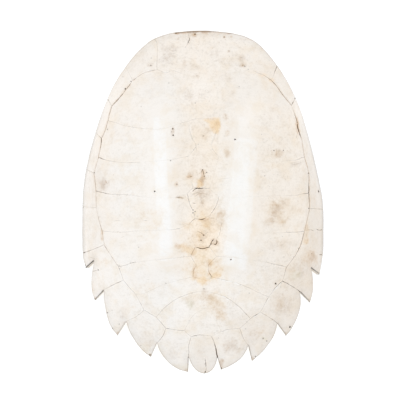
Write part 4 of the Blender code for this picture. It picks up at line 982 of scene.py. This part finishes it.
def paint(points):
    # the bone's tint, the stain colour with its amount, and how thick the mottling is, at each vertex
    warp, broad = drift(points, patchwork["stainNoise"]), drift(points, patchwork["tintNoise"])
    total = np.full(len(points), patchwork["restWeight"])
    tint = total[:, None] * boneTint(*patchwork["tintRest"])
    for spot in tints:
        offset = inPatch(points, spot, patchwork["tintRagged"] * broad)
        weight = np.exp(-patchwork["tintFall"] * (offset**2).sum(axis=1))
        total += weight
        tint += weight[:, None] * boneTint(*spot[4:])
    tint /= total[:, None]
    colour, amount = np.zeros((len(points), 3)), np.zeros(len(points))
    for name, spots in stains.items():
        for spot in spots:
            share = blob(points, spot, patchwork["stainRagged"] * warp, patchwork["stainStrength"])
            colour = colour * (1 - share)[:, None] + np.array(stainColours[name]) * share[:, None]
            amount = amount * (1 - share) + share
    colour = np.where(amount[:, None] > 1e-4, colour / np.maximum(amount, 1e-4)[:, None], 0.8)
    spread = np.max([blob(points, spot, patchwork["mottleRagged"] * warp) for spot in mottling], axis=0)
    return tint, colour, amount, patchwork["mottleLeast"] + (1 - patchwork["mottleLeast"]) * spread


class Wire:
    # a socket of a node tree, whose arithmetic adds Math nodes
    def __init__(self, graph, socket):
        self.graph, self.socket = graph, socket

    def math(self, operation, first, second):
        return self.graph.node("ShaderNodeMath", {"operation": operation}, {0: first, 1: second})

    def __add__(self, other):
        return self.math("ADD", self, other)

    def __sub__(self, other):
        return self.math("SUBTRACT", self, other)

    def __rsub__(self, other):
        return self.math("SUBTRACT", other, self)

    def __mul__(self, other):
        return self.math("MULTIPLY", self, other)

    __radd__, __rmul__ = __add__, __mul__

    def ramp(self, low, high):
        return self.graph.node("ShaderNodeMapRange", {"interpolation_type": "SMOOTHSTEP"},
                               {"Value": self, "From Min": low, "From Max": high})


class Graph:
    def __init__(self, name):
        self.material = bpy.data.materials.new(name)
        self.material.use_nodes = True
        self.tree = self.material.node_tree
        self.shader = self.tree.nodes["Principled BSDF"]

    def node(self, kind, settings, inputs, output=0):
        made = self.tree.nodes.new(kind)
        for key, value in settings.items():
            setattr(made, key, value)
        for key, value in inputs.items():
            self.feed(made.inputs[key], value)
        return Wire(self, made.outputs[output])

    def feed(self, socket, value):
        if isinstance(value, Wire):
            self.tree.links.new(value.socket, socket)
        elif socket.type == "RGBA":
            socket.default_value = (*value, 1)
        else:
            socket.default_value = value

    def surface(self, values):
        for key, value in values.items():
            self.feed(self.shader.inputs[key], value)

    def mix(self, amount, first, second, blend="MIX"):
        # a Mix node's colour sockets have the same names as its others, so they go by number
        return self.node("ShaderNodeMix", {"data_type": "RGBA", "blend_type": blend},
                         {0: amount, 6: first, 7: second}, 2)

    def noise(self, at, scale, detail, rough, warp=0.0):
        inputs = {"Vector": at, "Scale": scale, "Detail": detail, "Roughness": rough, "Distortion": warp}
        return self.node("ShaderNodeTexNoise", {"noise_dimensions": "3D"}, inputs)

    def cells(self, at, scale, output=0):
        return self.node("ShaderNodeTexVoronoi", {"feature": "F1"},
                         {"Vector": at, "Scale": scale, "Randomness": 1.0}, output)

    def attribute(self, name, output="Fac"):
        return self.node("ShaderNodeAttribute", {"attribute_name": name}, {}, output)


shell = {
    # factors on the bone's tint
    "peach": (0.975, 0.946, 0.900), "cool": (1.000, 1.005, 1.012), "dusk": (0.925, 0.910, 0.888),
    "speckle": (0.825, 0.812, 0.795), "band": (0.945, 0.938, 0.926), "pore": (0.936, 0.934, 0.932),
    "vein": (0.900, 0.820, 0.730), "ridgeHighlight": (1.050, 1.045, 1.040),
    # colours of their own
    "freckle": (0.520, 0.380, 0.260), "halo": (0.870, 0.740, 0.580), "fringe": (0.780, 0.560, 0.360),
    "seamFaint": (0.410, 0.388, 0.350), "seamRust": (0.400, 0.250, 0.110), "seamDark": (0.080, 0.040, 0.018),
    "paintedEdgeShade": (0.400, 0.345, 0.300), "notchShadow": (0.030, 0.022, 0.015),
    "edge": (0.830, 0.770, 0.690), "marrow": (0.600, 0.490, 0.350),
    "inner": (0.700, 0.600, 0.455), "innerLight": (0.800, 0.715, 0.580),
    "rimShade": 0.24, "roughness": 0.55, "coat": 0.80, "coatRoughness": 0.06, "specular": 0.35,
    # scale, detail, roughness and distortion of each noise, and the bands' stretch along X
    "clouds": (34.0, 3.0, 0.55, 0.3), "patches": (80.0, 4.0, 0.62, 0.4), "mottle": (190.0, 5.0, 0.68, 0.6),
    "fine": (360.0, 4.0, 0.62), "grain": (620.0, 3.0, 0.6), "rusting": (120.0, 4.0, 0.6, 0.8),
    "bands": (170.0, 4.0, 0.6), "bandStretch": (0.30, 1.0, 1.0), "freckleScale": 150.0, "poreScale": 420.0,
    "haloAmount": 0.15, "freckleAmount": 0.45, "marrowAmount": 0.45, "cutAmount": 0.50, "sheenCalm": 0.55,
    "bumpStrength": 0.14, "bumpDistance": 0.0009,
}


def boneMaterial():
    g = Graph("bone")
    at = g.node("ShaderNodeTexCoord", {}, {}, "Object")
    # gap: how far the nearest suture is, in mm. face: 0 outside, 1 on the inner face, between on the edge.
    seam, near, gap, amount, spread, paintedEdgeShade, notchShadow, face, fringe, lineDark = (g.attribute(name) for name in (
        "seam", "near", "gap", "amount", "mottle", "paintedEdgeShade", "notchShadow", "face", "fringe", "lineDark"))
    # painted sheen: the darkening mottles are calmed along the two highlight streaks, so the colour there is
    # lighter
    calm = 1 - shell["sheenCalm"] * g.attribute("streakSheen")
    clouds, patches, mottle, fine, grain, rusting = (
        g.noise(at, *shell[name]) for name in ("clouds", "patches", "mottle", "fine", "grain", "rusting"))
    stretched = g.node("ShaderNodeMapping", {}, {"Vector": at, "Scale": shell["bandStretch"]})
    bands = g.noise(stretched, *shell["bands"])

    colour = g.attribute("tint", "Color")
    colour = g.mix(near * patches.ramp(0.46, 0.70) * shell["haloAmount"], colour, shell["halo"])
    # stains: ragged at their edge, with rustier veins inside
    torn = (0.45 + 0.50 * amount.ramp(0.15, 0.60)) * (patches + mottle - 1.0)
    ragged = 0.86 * (amount + torn).ramp(-0.06, 1.02) * amount.ramp(0.0, 0.25)
    veins = g.mix(rusting.ramp(0.48, 0.66), g.attribute("stain", "Color"), shell["vein"], "MULTIPLY")
    colour = g.mix(ragged, colour, veins)
    colour = g.mix(fringe * (0.25 + 0.60 * mottle + 0.35 * amount), colour, shell["fringe"])
    # painted highlight: a pale line beside a dark suture, as on a lit ridge
    ridgeHighlight = gap.ramp(0.7, 1.3) * (1 - gap.ramp(2.0, 3.4)) * lineDark.ramp(0.05, 0.50)
    for mask, tint in (
        (clouds.ramp(0.44, 0.70), "peach"), ((1 - clouds).ramp(0.50, 0.72), "cool"),
        (patches.ramp(0.46, 0.72) * calm * (0.35 + 0.65 * spread), "dusk"),
        (mottle.ramp(0.48, 0.78) * calm * (0.30 + 0.70 * spread), "speckle"),
        (bands.ramp(0.50, 0.78) * calm * 0.8, "band"),
        (fine.ramp(0.46, 0.74) * calm * (0.45 + 0.55 * spread), "pore"), (ridgeHighlight * (0.5 + patches), "ridgeHighlight"),
    ):
        colour = g.mix(mask, colour, shell[tint], "MULTIPLY")
    # freckles: a few cells of a fine pattern, each drawn by chance
    freckles, place = (g.cells(at, shell["freckleScale"], output) for output in (0, "Position"))
    chance = g.node("ShaderNodeTexWhiteNoise", {"noise_dimensions": "3D"}, {"Vector": place}, "Value")
    spots = (1 - freckles.ramp(0.06, 0.20)) * (chance * (0.35 + spread)).ramp(0.86, 1.0)
    colour = g.mix(spots * shell["freckleAmount"], colour, shell["freckle"])
    # painted shade: a grey-brown line along the whole outline and the top of the edge's face, where the rim
    # turns away
    colour = g.mix(paintedEdgeShade * (0.22 + 0.44 * patches), colour, shell["paintedEdgeShade"])
    faint = g.mix(amount.ramp(0.15, 0.80), shell["seamFaint"], shell["seamRust"])
    line = g.mix(seam.ramp(0.25, 0.90), faint, shell["seamDark"])
    colour = g.mix(seam * (0.85 + 0.40 * mottle), colour, line)
    # painted shadow: the walls of the narrow notches darkened nearly black
    colour = g.mix(notchShadow * 0.96, colour, shell["notchShadow"])
    # the inner face, and the cut face between, where the spongy middle shows
    within = g.mix(0.6 * clouds + 0.4 * patches.ramp(0.30, 0.76), shell["inner"], shell["innerLight"])
    within = g.mix(mottle.ramp(0.55, 0.72) * shell["marrowAmount"], within, shell["marrow"])
    cut = g.mix(grain.ramp(0.42, 0.60), shell["edge"], shell["marrow"])
    inside = face.ramp(0.70, 0.98)
    onCut = face.ramp(0.04, 0.16) * (1 - inside)
    colour = g.mix(inside, colour, within)
    colour = g.mix(onCut * shell["cutAmount"] * (1 - notchShadow), colour, cut)

    rough = shell["roughness"] + 0.08 * patches + 0.08 * mottle + 0.15 * amount + 0.25 * seam + 0.20 * inside
    dull = (1 - 0.6 * amount) * (1 - 0.95 * seam.ramp(0.02, 0.35)) * (1 - 0.8 * notchShadow)
    pores = 1 - g.cells(at, shell["poreScale"]).ramp(0.05, 0.30)
    holes = pores * (0.25 + 0.75 * (inside + onCut).ramp(0.0, 1.0))
    height = 0.5 * mottle + 0.22 * grain + 0.25 * bands * (0.3 + near) - 0.55 * holes
    bump = {"Strength": shell["bumpStrength"], "Distance": shell["bumpDistance"], "Height": height}
    g.surface({
        "Base Color": colour, "Roughness": rough + 0.15 * onCut,
        "Coat Weight": shell["coat"] * (1 - inside) * dull, "Coat Roughness": shell["coatRoughness"],
        "Specular IOR Level": shell["specular"],
        "Normal": g.node("ShaderNodeBump", {}, bump),
    })
    return g.material


def setAttribute(mesh, name, values, kind="FLOAT"):
    made = mesh.attributes.new(name, kind, "POINT")
    made.data.foreach_set("color" if kind == "FLOAT_COLOR" else "value", np.asarray(values, float).ravel())


def placed(name, data):
    made = bpy.data.objects.new(name, data)
    bpy.context.scene.collection.objects.link(made)
    return made


def makeShell():
    edge, walls, inward = outlineLoop()
    outer, faces, marks = outerFace(edge, walls, inward)
    print("outer face", len(faces), "triangles")
    inner, innerFaces = innerFace(edge)
    print("inner face", len(innerFaces), "triangles")
    rings = edgeRings(edge, walls)
    count, first = len(edge), len(outer)
    starts = [0] + [first + count * k for k in range(len(rings) + 1)]
    faces += [[corner + starts[-1] for corner in face] for face in innerFaces]
    for upper, lower in zip(starts, starts[1:]):
        for i, j in enumerate(np.roll(np.arange(count), -1)):
            faces.append([upper + i, lower + i, lower + j, upper + j])
    points = np.vstack([outer, *rings, inner])
    mesh = bpy.data.meshes.new("shell")
    mesh.from_pydata(points.tolist(), [], faces)
    mesh.update()
    mesh.shade_smooth()

    rest = len(points) - first
    # values off the outer face, where the others are 0
    beyond = {"rimShadeMask": 1.0, "gap": fades["farFromLines"], "face": 1.0}
    marks = {name: np.append(values, np.full(rest, beyond.get(name, 0.0)))
             for name, values in {**marks, "face": np.zeros(first)}.items()}
    # on the edge rings: the cut face share, the painted edge shade, darkest at the top, and painted shadow
    # high on the notch walls
    for share, start in zip(grid["edgeRows"], starts[1:]):
        here = slice(start, start + count)
        marks["face"][here] = share * fades["cutShare"]
        marks["paintedEdgeShade"][here] = 1 - share
        marks["notchShadow"][here] = walls ** fades["wallShadowPower"] * fade(*fades["wallShadow"], share)
    tint, stain, marks["amount"], marks["mottle"] = paint(points)
    marks["amount"][first + count * 2:] = 0
    # where the painted sheen of the highlight streaks lies
    marks["streakSheen"] = streakSheen(*points[:, :2].T)
    # painted shade: the tint darkened towards the edge on the side rims, and fully on the edge and inner
    # faces
    tint *= 1 - shell["rimShade"] * marks.pop("rimShadeMask")[:, None]
    for name, values in marks.items():
        setAttribute(mesh, name, values)
    for name, values in (("tint", tint), ("stain", stain)):
        setAttribute(mesh, name, np.column_stack([values, np.ones(len(points))]), "FLOAT_COLOR")
    made = placed("shell", mesh)
    mesh.materials.append(boneMaterial())
    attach(made, "root")
    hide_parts("carapace")
    print("shell", sum(len(f) - 2 for f in faces), "triangles")


makeShell()

studio = {
    "floorSize": 60.0, "floor": (0.600, 0.611, 0.622), "floorGlow": 0.62, "glow": (0.97, 0.985, 1.0),
    "floorRoughness": 0.9, "floorSpecular": 0.1, "world": (1.0, 0.945, 0.880), "worldStrength": 0.92,
}
# Long lamps whose reflections are the two pale streaks along the back
strips = [
    {"name": "stripLeft", "at": (-0.71, 0.15, 1.60), "target": (-0.084, 0.05, 0.12), "turn": 5.5,
     "size": (1.84, 0.24), "energy": 3.5, "colour": (0.30, 0.63, 1.0)},
    {"name": "stripRight", "at": (0.66, 0.11, 1.60), "target": (0.078, 0.05, 0.12), "turn": -6.0,
     "size": (1.96, 0.22), "energy": 1.7, "colour": (0.34, 0.66, 1.0)},
    {"name": "stripRightWide", "at": (0.655, -0.11, 1.62), "target": (0.078, 0.05, 0.12), "turn": -8.0,
     "size": (1.66, 0.44), "energy": 5.7, "colour": (0.33, 0.66, 1.0)},
]
camera = {
    "at": (-0.0059, 0.0043), "height": 20.0, "midway": 0.05, "frameWidth": 0.7976,
    "sensor": 36.0, "clip": 100.0,
}


def makeFloor():
    half = studio["floorSize"] / 2
    corners = [(-half, -half, 0), (half, -half, 0), (half, half, 0), (-half, half, 0)]
    mesh = bpy.data.meshes.new("floor")
    mesh.from_pydata(corners, [], [(0, 1, 2, 3)])
    g = Graph("floorPaper")
    g.surface({
        "Base Color": studio["floor"], "Roughness": studio["floorRoughness"],
        "Specular IOR Level": studio["floorSpecular"],
        "Emission Color": studio["glow"], "Emission Strength": studio["floorGlow"],
    })
    mesh.materials.append(g.material)
    placed("floor", mesh)


def stripLamp(spec):
    # local X runs along the strip, which is turned in plan, and it faces its target
    lamp = bpy.data.lights.new(spec["name"], "AREA")
    lamp.shape, (lamp.size, lamp.size_y) = "RECTANGLE", spec["size"]
    lamp.energy, lamp.color = spec["energy"], spec["colour"]
    turn = math.radians(spec["turn"])
    along = Vector((-math.sin(turn), math.cos(turn), 0))
    away = Vector(spec["at"]) - Vector(spec["target"])
    away = (away - along * away.dot(along)).normalized()
    facing = Matrix((along, away.cross(along), away)).transposed().to_4x4()
    made = placed(spec["name"], lamp)
    made.matrix_world = Matrix.Translation(spec["at"]) @ facing
    made.visible_camera = False


def makeWorld():
    world = bpy.data.worlds.new("studio")
    world.use_nodes = True
    background = world.node_tree.nodes["Background"]
    background.inputs["Color"].default_value = (*studio["world"], 1)
    background.inputs["Strength"].default_value = studio["worldStrength"]
    bpy.context.scene.world = world


def makeCamera():
    # straight above, at the height from which the shell looks as in the photograph
    data = bpy.data.cameras.new("camera")
    data.sensor_width = camera["sensor"]
    data.lens = camera["sensor"] * camera["height"] / camera["frameWidth"]
    data.clip_end = camera["clip"]
    made = placed("camera", data)
    made.location = (*camera["at"], camera["height"] + camera["midway"])
    bpy.context.scene.camera = made


makeFloor()
makeWorld()
for strip in strips:
    stripLamp(strip)
makeCamera()
bpy.context.scene.view_settings.view_transform = "Standard"
print("studio and camera")
